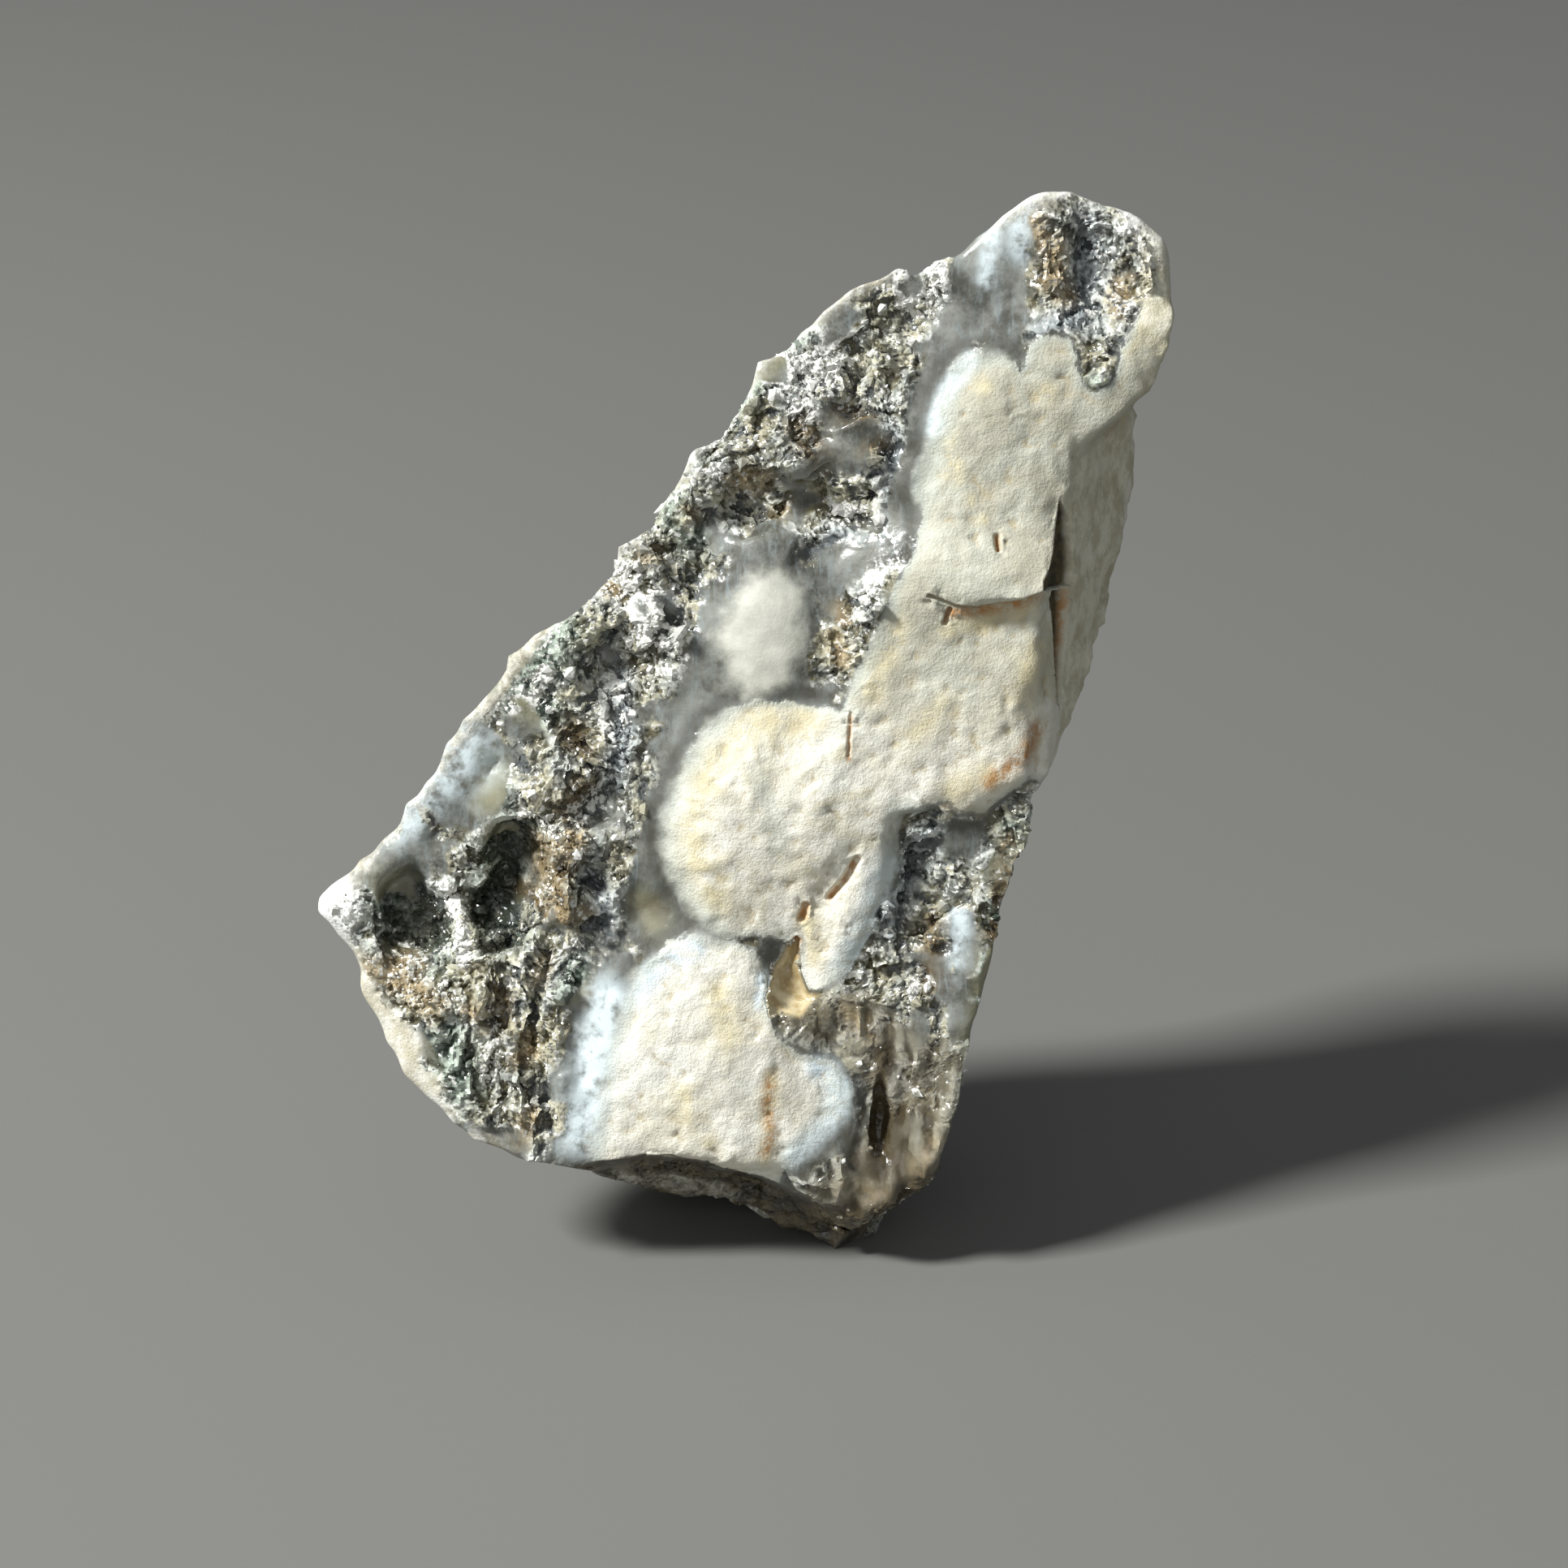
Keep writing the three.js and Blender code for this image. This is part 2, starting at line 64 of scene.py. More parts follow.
def on_face(points):
    """Frame points in mm as (x, up, deep)."""
    return (points - FACE_FOOT) @ FACE_AXES.T


# %% [markdown]
# ## Noise
# Natural surfaces need noise at several sizes. Blender has noise textures for shaders, but to
# move vertices and to place crystals we want the same numbers in Python, so two small noises
# are written here: a smooth one, and one made of flat tilted facets, like broken quartz.

# %% Smooth noise and facets
def hashed(cells, salt):
    """A steady random number from 0 to 1 for each whole-numbered cell."""
    wave = np.sin(cells @ np.array([127.1, 311.7, 74.7]) + salt * 19.19) * 43758.5453
    return wave - np.floor(wave)


def cloud(points, size, salt=0, layers=1):
    """Smooth noise from about -1 to 1 whose blobs are `size` mm across, with finer layers on it."""
    q = points / size
    base = np.floor(q)
    t = q - base
    t = t * t * (3 - 2 * t)
    total = np.zeros(len(points))
    for corner in np.ndindex(2, 2, 2):
        weight = np.prod(np.where(corner, t, 1 - t), axis=1)
        total += weight * hashed(base + corner, salt)
    smooth = 2 * total - 1
    if layers > 1:
        smooth = smooth + 0.5 * cloud(points, size / 2, salt + 1, layers - 1)
    return smooth


def facets(points, size, salt):
    """Flat tilted facets, about `size` mm across, that meet in sharp steps: about -0.8 to 0.8."""
    q = points / size
    base = np.floor(q)
    nearest = np.full(len(points), np.inf)
    value = np.zeros(len(points))
    for step in np.ndindex(3, 3, 3):
        cell = base + step - 1
        spot = np.stack([hashed(cell, salt + axis) for axis in range(3)], axis=1)
        offset = q - cell - spot
        distance = (offset ** 2).sum(axis=1)
        lean = np.stack([hashed(cell, salt + 5 + axis) for axis in range(3)], axis=1) - 0.5
        height = hashed(cell, salt + 9) - 0.5 + 1.5 * (offset * lean).sum(axis=1)
        value = np.where(distance < nearest, height, value)
        nearest = np.minimum(distance, nearest)
    return value


def ease(value, low, high):
    """0 below low, 1 above high and smooth between them."""
    t = np.clip((value - low) / (high - low), 0, 1)
    return t * t * (3 - 2 * t)


sample = np.random.default_rng(1).random((2000, 3)) * 20
print("cloud and facets vary by", cloud(sample, 2.0).std().round(2), facets(sample, 2.0, 1).std().round(2))

# %% [markdown]
# ## Regions of the stone
# A mineral pattern is easiest to keep under control as a few outlines drawn on the face. For
# every vertex we work out how far inside each outline it lies. That distance is better than a
# yes or no: a shader can move the edge in and out with fine noise, so the edge gets crisper
# than the mesh is.

# %% Distances to outlines and lines
def segments(points, closed):
    ends = np.array(points, float)
    starts = np.roll(ends, 1, axis=0)
    return list(zip(starts, ends))[0 if closed else 1:]


def off_line(line, x, up, closed=False):
    """Distance from each spot to a line through the given points."""
    nearest = np.full(x.shape, np.inf)
    for (ax, ay), (bx, by) in segments(line, closed):
        ex, ey = bx - ax, by - ay
        t = np.clip(((x - ax) * ex + (up - ay) * ey) / max(ex * ex + ey * ey, 1e-9), 0, 1)
        nearest = np.minimum(nearest, np.hypot(x - ax - t * ex, up - ay - t * ey))
    return nearest


def inside_by(outline, x, up):
    """How far each spot lies inside an outline, negative outside it."""
    inside = np.zeros(x.shape, bool)
    for (ax, ay), (bx, by) in segments(outline, True):
        if ay != by:
            inside ^= ((ay > up) != (by > up)) & (x < ax + (up - ay) * (bx - ax) / (by - ay))
    away = off_line(outline, x, up, closed=True)
    return np.where(inside, away, -away)


SQUARE = [(0, 0), (2, 0), (2, 2), (0, 2)]
two_spots = np.array([1, 3]), np.array([1, 1])
print("inside a 2 mm square, at its middle and 1 mm off:", inside_by(SQUARE, *two_spots))

# %% [markdown]
# The cream jasper is two opaque masses. The grey chalcedony lies round them in thin layers,
# bluish white where it is thickest. Druse, crusts and stains fill the rest.

# %% Outlines of the mineral masses
UPPER_CREAM = [
    (4.2, 35.4), (4.6, 37.5), (5.1, 38.5), (5.9, 39.2), (7.0, 39.3), (7.7, 39.1), (8.1, 38.6),
    (8.7, 39.7), (9.4, 40.2), (10.2, 39.9), (10.5, 39.1), (10.6, 38.1), (11.3, 37.6), (12.0, 38.0),
    (12.3, 39.2), (13.0, 40.7), (13.6, 41.6), (15.0, 42.0), (19.0, 42.0), (19.0, 21.5),
    (10.4, 20.8), (8.5, 21.0), (7.4, 20.1), (6.7, 19.6), (5.5, 19.6), (5.0, 20.1), (4.1, 19.8),
    (3.1, 19.6), (2.8, 18.1), (2.4, 16.4), (1.6, 14.2), (0.7, 12.5), (-0.3, 11.5), (-1.0, 11.5),
    (-1.3, 12.4), (-1.4, 14.0), (-2.2, 13.9), (-3.2, 14.2), (-4.4, 14.0), (-5.3, 14.6),
    (-6.4, 15.8), (-7.1, 17.5), (-7.2, 19.3), (-6.4, 21.3), (-5.4, 23.1), (-4.3, 24.1),
    (-2.9, 24.5), (-1.1, 24.3), (0.5, 24.1), (1.2, 25.8), (1.8, 27.0), (2.4, 28.4), (2.8, 29.5),
    (3.5, 30.7), (4.0, 32.2), (3.6, 33.7), (3.9, 34.7),
]
LOWER_CREAM = [
    (-4.3, 13.9), (-3.1, 13.5), (-2.6, 12.3), (-2.7, 10.8), (-2.0, 9.5), (-1.3, 8.9), (0.2, 8.4),
    (0.8, 7.2), (0.4, 6.0), (-0.8, 4.8), (-1.8, 3.7), (-2.2, 2.0), (-9.9, 2.4), (-10.4, 4.6),
    (-10.0, 7.4), (-9.5, 9.2), (-9.0, 10.8), (-8.4, 12.4), (-7.5, 13.3), (-6.1, 14.3),
]
SMOOTH_CHALCEDONY = [
    [(-8.9, 14.2), (-8.7, 16.5), (-8.3, 20.2), (-7.5, 22.0), (-7.0, 24.0), (-6.2, 26.6),
     (-5.4, 29.4), (-3.7, 31.5), (-1.4, 31.2), (-0.5, 28.7), (-0.6, 25.4), (0.6, 24.0),
     (-3.0, 22.0), (-6.0, 18.0), (-4.4, 14.2), (-6.1, 13.2), (-8.1, 13.2)],  # round the bulge
    [(-17.9, 19.9), (-16.3, 22.4), (-15.1, 23.7), (-14.3, 22.9), (-13.7, 22.0), (-13.9, 19.7),
     (-14.9, 18.9), (-16.1, 18.6)],
    [(5.1, 43.6), (5.1, 41.4), (4.2, 39.4), (3.7, 38.5), (3.2, 36.9), (3.2, 35.5), (2.8, 34.5),
     (2.5, 32.7), (2.2, 31.3), (2.9, 30.6), (3.6, 31.0), (4.1, 32.4), (4.3, 35.4), (5.2, 38.6),
     (6.2, 39.6), (8.0, 39.6), (8.5, 40.9), (8.4, 43.2), (8.6, 45.8), (7.0, 45.4), (5.5, 44.6)],
    [(-8.2, 13.6), (-9.8, 13.0), (-11.3, 11.4), (-11.8, 8.0), (-12.0, 4.0), (-10.0, 3.8),
     (-9.0, 8.0), (-8.2, 12.0)],
    [(5.2, 15.4), (6.3, 15.3), (6.5, 12.6), (6.3, 9.4), (5.3, 9.4), (5.1, 12.6)],
    [(-2.1, 8.6), (-1.4, 9.2), (0.6, 9.0), (1.5, 7.2), (0.9, 4.6), (-1.6, 3.0), (-2.0, 4.8)],
    [(0.4, 31.8), (2.6, 31.7), (2.6, 30.4), (1.4, 29.6), (0.6, 29.6), (0.3, 28.0), (-0.6, 28.1),
     (-0.5, 31.0)],
    [(4.9, 19.2), (6.6, 19.0), (6.5, 17.5), (5.1, 17.6)],
]
MILKY_DOME = [(-2.1, 30.4), (-1.2, 29.4), (-1.0, 27.8), (-1.2, 26.6), (-1.9, 25.2), (-3.2, 24.7),
              (-4.4, 25.2), (-4.7, 27.3), (-4.2, 29.1), (-3.3, 30.0)]
PALE_FACETS = [
    [(-20.9, 12.4), (-19.5, 11.1), (-17.8, 9.7), (-17.8, 8.4), (-17.0, 7.2), (-16.8, 5.6),
     (-18.9, 6.8), (-20.6, 10.2)],
]
HOLLOWS = [  # how deep each one is, and its outline
    (0.9, [(-14.3, 18.9), (-12.7, 19.1), (-12.3, 17.1), (-12.6, 14.6), (-13.6, 13.0), (-15.1, 13.4),
           (-15.2, 15.2), (-13.9, 16.1), (-14.4, 17.2)]),
    (0.8, [(-19.0, 16.1), (-17.6, 16.8), (-16.7, 15.2), (-16.5, 13.2), (-17.6, 12.4), (-19.0, 12.9),
           (-19.6, 14.8)]),
    (0.4, [(-5.0, 32.6), (-3.0, 33.0), (-2.2, 32.5), (-2.6, 31.9), (-3.8, 31.9)]),
    (0.5, [(3.3, 18.7), (4.7, 18.2), (4.4, 16.6), (3.6, 15.4), (3.0, 13.6), (2.7, 15.0), (3.0, 17.0)]),
    (0.6, [(-10.9, 17.3), (-9.8, 17.0), (-9.6, 16.0), (-10.6, 15.9)]),
    (0.35, [(10.6, 40.4), (11.4, 40.2), (11.4, 38.2), (10.8, 38.2)]),
    (0.35, [(10.5, 44.8), (11.5, 44.4), (11.9, 42.9), (11.2, 41.0), (10.3, 42.4)]),
    (0.5, [(-11.8, 23.6), (-10.8, 23.6), (-10.2, 22.6), (-10.8, 21.6), (-11.4, 22.4)]),
]
GROOVES = [(-15.6, 12.0), (-11.6, 13.0), (-11.9, 4.4), (-15.4, 4.4), (-17.2, 8.6)]
GLASSY = [  # lower right, where the quartz broke in larger smooth pieces
    (-2.9, 10.5), (-2.0, 10.7), (-0.4, 11.5), (0.6, 11.8), (1.8, 11.6), (3.0, 10.8), (4.4, 9.4),
    (5.4, 9.2), (6.3, 9.6), (5.6, 5.2), (4.4, 2.4), (1.8, -0.2), (-1.6, 0.4), (-1.2, 2.8),
    (0.9, 4.8), (1.6, 7.2), (0.6, 9.0), (-1.2, 9.2),
]
RECESS = [(-2.0, 13.4), (-1.4, 14.1), (-1.2, 12.4), (-0.9, 11.5), (-0.3, 11.5), (-1.3, 10.5),
          (-2.0, 10.7), (-2.6, 10.6), (-2.7, 11.4), (-2.4, 12.7)]
# ledges: recessed wedges beside the ridge, painted dark as their shade
LEDGES = [
    [(9.8, 33.0), (10.3, 32.2), (10.35, 29.3), (9.1, 29.2), (9.1, 29.7), (9.45, 30.4), (9.65, 31.7)],
    [(9.6, 29.1), (10.15, 29.1), (10.05, 27.6), (10.0, 25.9), (9.9, 23.9), (9.72, 25.9), (9.6, 27.4)],
]
PALE_UNDERSIDE = [(-9.4, 3.4), (-8.5, 2.6), (-6.3, 1.8), (-4.2, 1.4), (-4.0, 2.0), (-5.7, 2.6),
                  (-6.9, 3.1)]
EDGE = [
    (-14.4, 3.9), (-15.5, 4.9), (-19.0, 8.0), (-20.2, 10.5), (-21.4, 13.3), (-22.3, 15.2),
    (-20.6, 16.6), (-17.9, 20.1), (-15.3, 23.8), (-13.1, 26.7), (-9.8, 30.2), (-7.0, 33.9),
    (-5.1, 36.6), (-2.6, 39.4), (0.0, 41.6), (2.8, 43.2), (5.2, 44.4), (8.2, 45.9), (10.2, 46.4),
    (12.1, 45.8), (13.7, 44.9), (14.7, 42.9), (15.0, 41.9),
]
# the pale rim along the upper-left edge is partly a pale crust and partly a painted highlight where the edge
# catches the light
RIM_UP = [4.0, 14.0, 17.5, 28.0, 33.0, 38.0, 46.0]  # how the worn rim's width changes
RIM_WIDTH = [0.9, 0.9, 0.6, 0.6, 0.8, 1.0, 0.9]
LIP_X = [-14.4, -11.7, -10.1, -8.3, -6.9, -5.2, -3.8, -2.2, -0.4, 1.9]
LIP_UP = [3.9, 3.7, 4.1, 4.4, 4.4, 4.0, 3.4, 2.7, 1.9, 0.6]
TIP = (-21.9, 15.1)  # the middle of the white tip

# %% [markdown]
# Stains and the druse's bright patches don't have outlines. They're soft strokes of a brush: the
# points a stroke goes through and how far it reaches to each side. Each kind gets its own colour later on.

# %% Strokes of colour
STROKES = {
    "rust": [
        ([(-12.2, 18.0), (-11.3, 18.2), (-10.8, 18.6)], 0.6), ([(-12.0, 16.6), (-11.6, 15.4)], 0.7),
        ([(-10.6, 15.2)], 0.5), ([(-12.4, 12.8), (-12.6, 12.0)], 0.5),
        ([(-13.1, 9.6), (-13.0, 8.8)], 0.6), ([(-13.0, 6.0), (-13.5, 5.0)], 0.7),
        ([(-19.8, 12.1), (-18.4, 11.8), (-17.2, 11.0)], 0.9), ([(-15.6, 10.8)], 0.6),
        ([(-9.3, 29.2)], 0.6), ([(-7.8, 30.8)], 0.7), ([(-6.0, 32.4)], 0.7),
        ([(-4.0, 33.9), (-2.8, 33.9)], 0.7), ([(1.4, 35.2), (2.2, 35.6)], 0.5), ([(-2.0, 32.5)], 0.5),
        ([(8.7, 44.6), (9.7, 43.5), (9.3, 42.4), (10.0, 41.8)], 0.7), ([(12.3, 41.2), (12.6, 42.2)], 0.6),
        ([(0.2, 28.5), (0.7, 28.0)], 0.5), ([(0.2, 27.3), (0.5, 26.2)], 0.5),
        ([(0.8, 10.9), (1.8, 9.6)], 0.5), ([(5.2, 20.0), (6.6, 19.6)], 0.4),
        ([(3.8, 3.6), (4.6, 5.0)], 0.5), ([(0.8, 2.8), (2.2, 2.4)], 0.6),
    ],
    # brown: brown stains, some strokes also standing in as painted shade beside knobs and in holes
    "brown": [
        ([(-1.2, 36.2), (-0.3, 34.8)], 0.9), ([(0.4, 36.8), (1.6, 36.6)], 0.6),
        ([(-11.3, 23.3), (-10.6, 22.6)], 0.8), ([(-12.8, 15.2), (-11.2, 15.0)], 0.5),
        ([(3.0, 5.8), (2.4, 4.6), (2.4, 3.8)], 1.1), ([(4.4, 3.4), (2.6, 2.0), (0.4, 1.2)], 1.1),
        ([(-2.0, 12.0), (-1.6, 11.2)], 0.9), ([(-1.5, 13.4)], 0.4), ([(-14.2, 11.4), (-14.4, 10.2)], 0.7),
        ([(-13.6, 8.6)], 0.6), ([(-10.6, 20.6), (-11.4, 19.6)], 0.8), ([(2.4, 9.0), (2.2, 7.4)], 0.4),
        ([(7.8, 18.2), (7.1, 14.0)], 0.7), ([(-7.6, 15.4)], 0.7), ([(-11.8, 17.8), (-11.5, 15.6)], 1.1),
        ([(4.6, 14.6), (4.4, 12.0)], 0.6),
    ],
    "green": [
        ([(-13.4, 25.4), (-12.0, 26.6), (-11.7, 27.6)], 1.5), ([(-13.2, 24.4), (-12.0, 23.8)], 1.0),
        ([(-14.2, 14.6), (-13.4, 18.2)], 1.5), ([(-18.8, 15.2), (-17.6, 13.4)], 1.6),
        ([(-16.6, 9.4), (-16.0, 7.4)], 1.3), ([(-10.9, 12.6), (-11.1, 11.6)], 0.8),
        ([(-4.8, 36.2), (-0.8, 40.8)], 0.7), ([(7.8, 18.8), (7.4, 16.8), (7.0, 13.4), (6.3, 9.6)], 0.7),
        ([(-6.6, 32.6), (-5.8, 31.4)], 1.0), ([(11.2, 38.2)], 0.5), ([(-14.6, 20.2), (-14.8, 21.6)], 1.1),
        ([(-8.2, 15.6), (-7.4, 14.6)], 0.9),
    ],
    "cool": [
        ([(-8.9, 25.4), (-8.8, 23.4), (-9.2, 21.0)], 0.8), ([(2.6, 36.0), (3.0, 34.0), (2.6, 31.6)], 0.9),
        ([(0.2, 31.2), (2.0, 30.8)], 1.1), ([(0.0, 29.2)], 0.6), ([(8.8, 40.4), (10.4, 40.6)], 0.7),
        ([(10.8, 44.9), (11.4, 43.6), (11.2, 42.3), (10.5, 40.9)], 1.0),
        ([(-9.8, 15.6), (-9.6, 14.2)], 0.9), ([(4.4, 18.6), (3.4, 16.8), (2.6, 14.4)], 1.0),
        ([(5.2, 18.4), (6.2, 18.3)], 0.9), ([(-10.4, 16.8), (-9.9, 16.4)], 0.5),
        ([(5.4, 41.0), (4.8, 39.6)], 1.0), ([(1.6, 7.0), (0.9, 4.9)], 0.5),
        ([(-3.0, 21.2), (-2.6, 19.6), (-2.2, 18.0)], 0.8), ([(-1.7, 20.9), (-1.4, 19.4)], 0.35),
    ],
    # bright: where the druse gets more white flecks and crystals, partly milky grains and partly painted
    # glints
    "bright": [
        ([(-2.8, 39.2), (-1.7, 38.5), (-0.3, 38.8), (0.2, 39.3)], 1.1),
        ([(-2.0, 37.8), (-1.0, 36.9)], 0.8), ([(3.0, 42.7), (3.8, 41.4), (4.3, 42.6)], 0.9),
        ([(-5.8, 35.4), (-5.1, 36.0)], 0.8), ([(-5.0, 34.4)], 0.7),
        ([(-8.6, 29.6), (-7.6, 28.2), (-7.2, 26.8)], 1.4), ([(-9.4, 24.8), (-9.2, 23.4)], 0.8),
        ([(1.4, 28.6), (1.8, 29.6), (2.0, 30.4)], 0.6), ([(-13.2, 24.2), (-12.2, 25.4)], 0.8),
        ([(-13.2, 19.4), (-11.8, 18.8)], 0.5), ([(-10.8, 19.4), (-10.0, 20.2)], 0.6),
        ([(-18.2, 12.4)], 0.7), ([(3.7, 12.0), (3.2, 9.6)], 0.25), ([(-16.8, 17.4)], 0.5),
        ([(0.4, 32.6), (1.6, 32.3)], 0.6), ([(12.7, 44.7), (13.8, 43.8), (14.2, 42.6)], 0.8),
        ([(12.3, 41.4), (12.9, 41.0)], 0.5), ([(-6.4, 25.4), (-6.0, 26.6)], 0.5),
        ([(2.2, 10.2), (0.4, 9.8)], 0.6), ([(3.2, 8.2), (3.0, 6.6)], 0.5),
        ([(-14.6, 9.6), (-14.8, 7.6)], 0.5), ([(-16.2, 15.6), (-15.9, 13.0)], 0.5),
    ],
    "yellow": [
        ([(-4.9, 15.9), (-5.7, 17.6), (-5.8, 19.8), (-4.9, 22.0), (-3.2, 23.4), (-0.8, 23.9)], 1.0),
        ([(1.6, 25.0), (2.6, 27.6)], 0.9), ([(5.1, 35.6), (5.3, 34.2)], 0.6), ([(5.9, 33.1)], 0.4),
        ([(6.5, 38.0)], 0.5), ([(9.1, 37.7)], 0.7), ([(5.3, 20.6), (7.0, 21.4)], 0.8),
        ([(6.5, 32.3)], 0.35), ([(-4.9, 11.6), (-4.2, 9.6)], 0.8), ([(-6.0, 6.2), (-6.2, 7.2)], 0.9),
        ([(-5.2, 5.0)], 0.5), ([(12.4, 39.6), (13.2, 41.0)], 0.7), ([(3.4, 23.0), (5.0, 24.4)], 0.8),
        ([(8.2, 24.4), (8.6, 26.6)], 0.8), ([(-1.0, 15.0), (-0.6, 13.0)], 0.6),
        ([(-2.5, 8.0), (-2.6, 6.0), (-2.7, 4.2)], 0.5), ([(5.0, 27.6), (8.6, 28.2)], 0.5),
    ],
    "milk": [
        ([(-9.6, 11.4), (-10.3, 8.6), (-10.9, 5.2)], 1.2), ([(-0.4, 8.3), (0.4, 7.4), (0.4, 6.4)], 0.8),
        ([(0.0, 5.8), (-1.6, 4.2)], 0.6), ([(4.4, 36.2), (5.0, 37.8), (5.9, 39.0)], 0.5),
        ([(5.7, 15.0), (5.6, 13.2)], 0.6), ([(-18.4, 19.2), (-17.0, 20.6), (-15.4, 22.0)], 1.6),
        ([(8.0, 45.2), (8.1, 43.6)], 0.7), ([(6.9, 44.2), (6.6, 42.4)], 0.5),
        ([(2.6, 17.2), (1.8, 14.8), (0.8, 12.9)], 0.9), ([(-8.2, 11.6), (-7.6, 12.6), (-5.8, 13.6)], 0.6),
        ([(-2.9, 12.4), (-3.0, 11.2)], 0.4), ([(-21.9, 15.1)], 1.2),
    ],
    "seep": [  # water runs along cracks, so these are thin
        ([(5.2, 28.3), (6.6, 28.3), (8.2, 28.6), (9.0, 28.9)], 0.3), ([(5.1, 28.4), (4.9, 27.9)], 0.12),
        ([(-1.4, 13.9), (-1.8, 12.5)], 0.3), ([(-2.5, 8.0), (-2.7, 6.8), (-2.5, 5.4), (-2.8, 4.4)], 0.32),
        ([(0.9, 24.0), (0.8, 22.0)], 0.14), ([(6.8, 21.0), (7.6, 21.5), (8.4, 22.1), (8.9, 23.2)], 0.5),
        ([(1.2, 17.6), (0.7, 16.7), (0.0, 15.9)], 0.2), ([(-1.0, 15.5), (-1.2, 14.9)], 0.26),
        ([(10.15, 29.0), (10.1, 27.0), (9.95, 24.4)], 0.3), ([(7.1, 31.6), (7.15, 31.1)], 0.12),
    ],
    "soft": [
        ([(-5.0, 14.6), (-7.1, 17.4), (-7.0, 20.4), (-5.2, 23.6)], 1.4),
        ([(2.4, 28.4), (1.0, 25.4)], 0.8), ([(-8.4, 12.8), (-10.0, 9.4), (-10.4, 5.0)], 1.3),
        ([(0.8, 7.4), (-1.4, 4.6)], 1.2), ([(0.6, 12.4), (2.4, 16.6), (3.0, 19.6)], 1.2),
        ([(4.0, 33.6), (5.2, 38.6), (7.0, 39.6)], 1.1),
    ],
}
print("strokes:", {kind: len(strokes) for kind, strokes in STROKES.items()})

# %% [markdown]
# The pattern isn't paint on the front. Each mass goes on through the stone, thinner and shifted,
# so it comes out again on the flanks and the back. `layer_spot` follows each point back along
# its layer to the face before the outlines are asked about it.


# %% Carry the pattern through the stone
def layer_spot(p):
    """The (x, up) on the face where the layer through each point comes out."""
    deep = np.maximum(p[:, 2] - 1.0, 0)
    wander = np.minimum(deep, 6)
    x = p[:, 0] + 0.3 * deep + wander * cloud(p, 6.0, 21, 3)
    up = p[:, 1] - 0.25 * deep + wander * cloud(p, 6.0, 22, 3)
    return x, up


RIDGE_UP = [23.9, 25.5, 27.3, 29.1, 32.7, 34.5, 35.4, 35.9]  # where the face turns to the side
RIDGE_X = [9.8, 9.9, 10.0, 10.1, 10.0, 10.3, 11.1, 13.0]
THIN = ("seep", "soft")  # strokes that belong to one spot on the front only
FRONT_FADES = (1.5, 4.5)  # how deep the front's own marks begin and end to fade
RIM_FADES = (6.0, 3.5)  # how deep the worn rim ends, and where it begins to fade


def deepest_inside(outlines, x, up):
    return np.max([inside_by(outline, x, up) for outline in outlines], axis=0)


def stroked(strokes, x, up):
    """Soft amount from 0 to 1 of the strongest stroke at each spot."""
    amount = np.zeros(x.shape)
    for line, reach in strokes:
        away = off_line(line if len(line) > 1 else line * 2, x, up)
        amount = np.maximum(amount, ease(-away, -reach * 1.35, 0))
    return amount


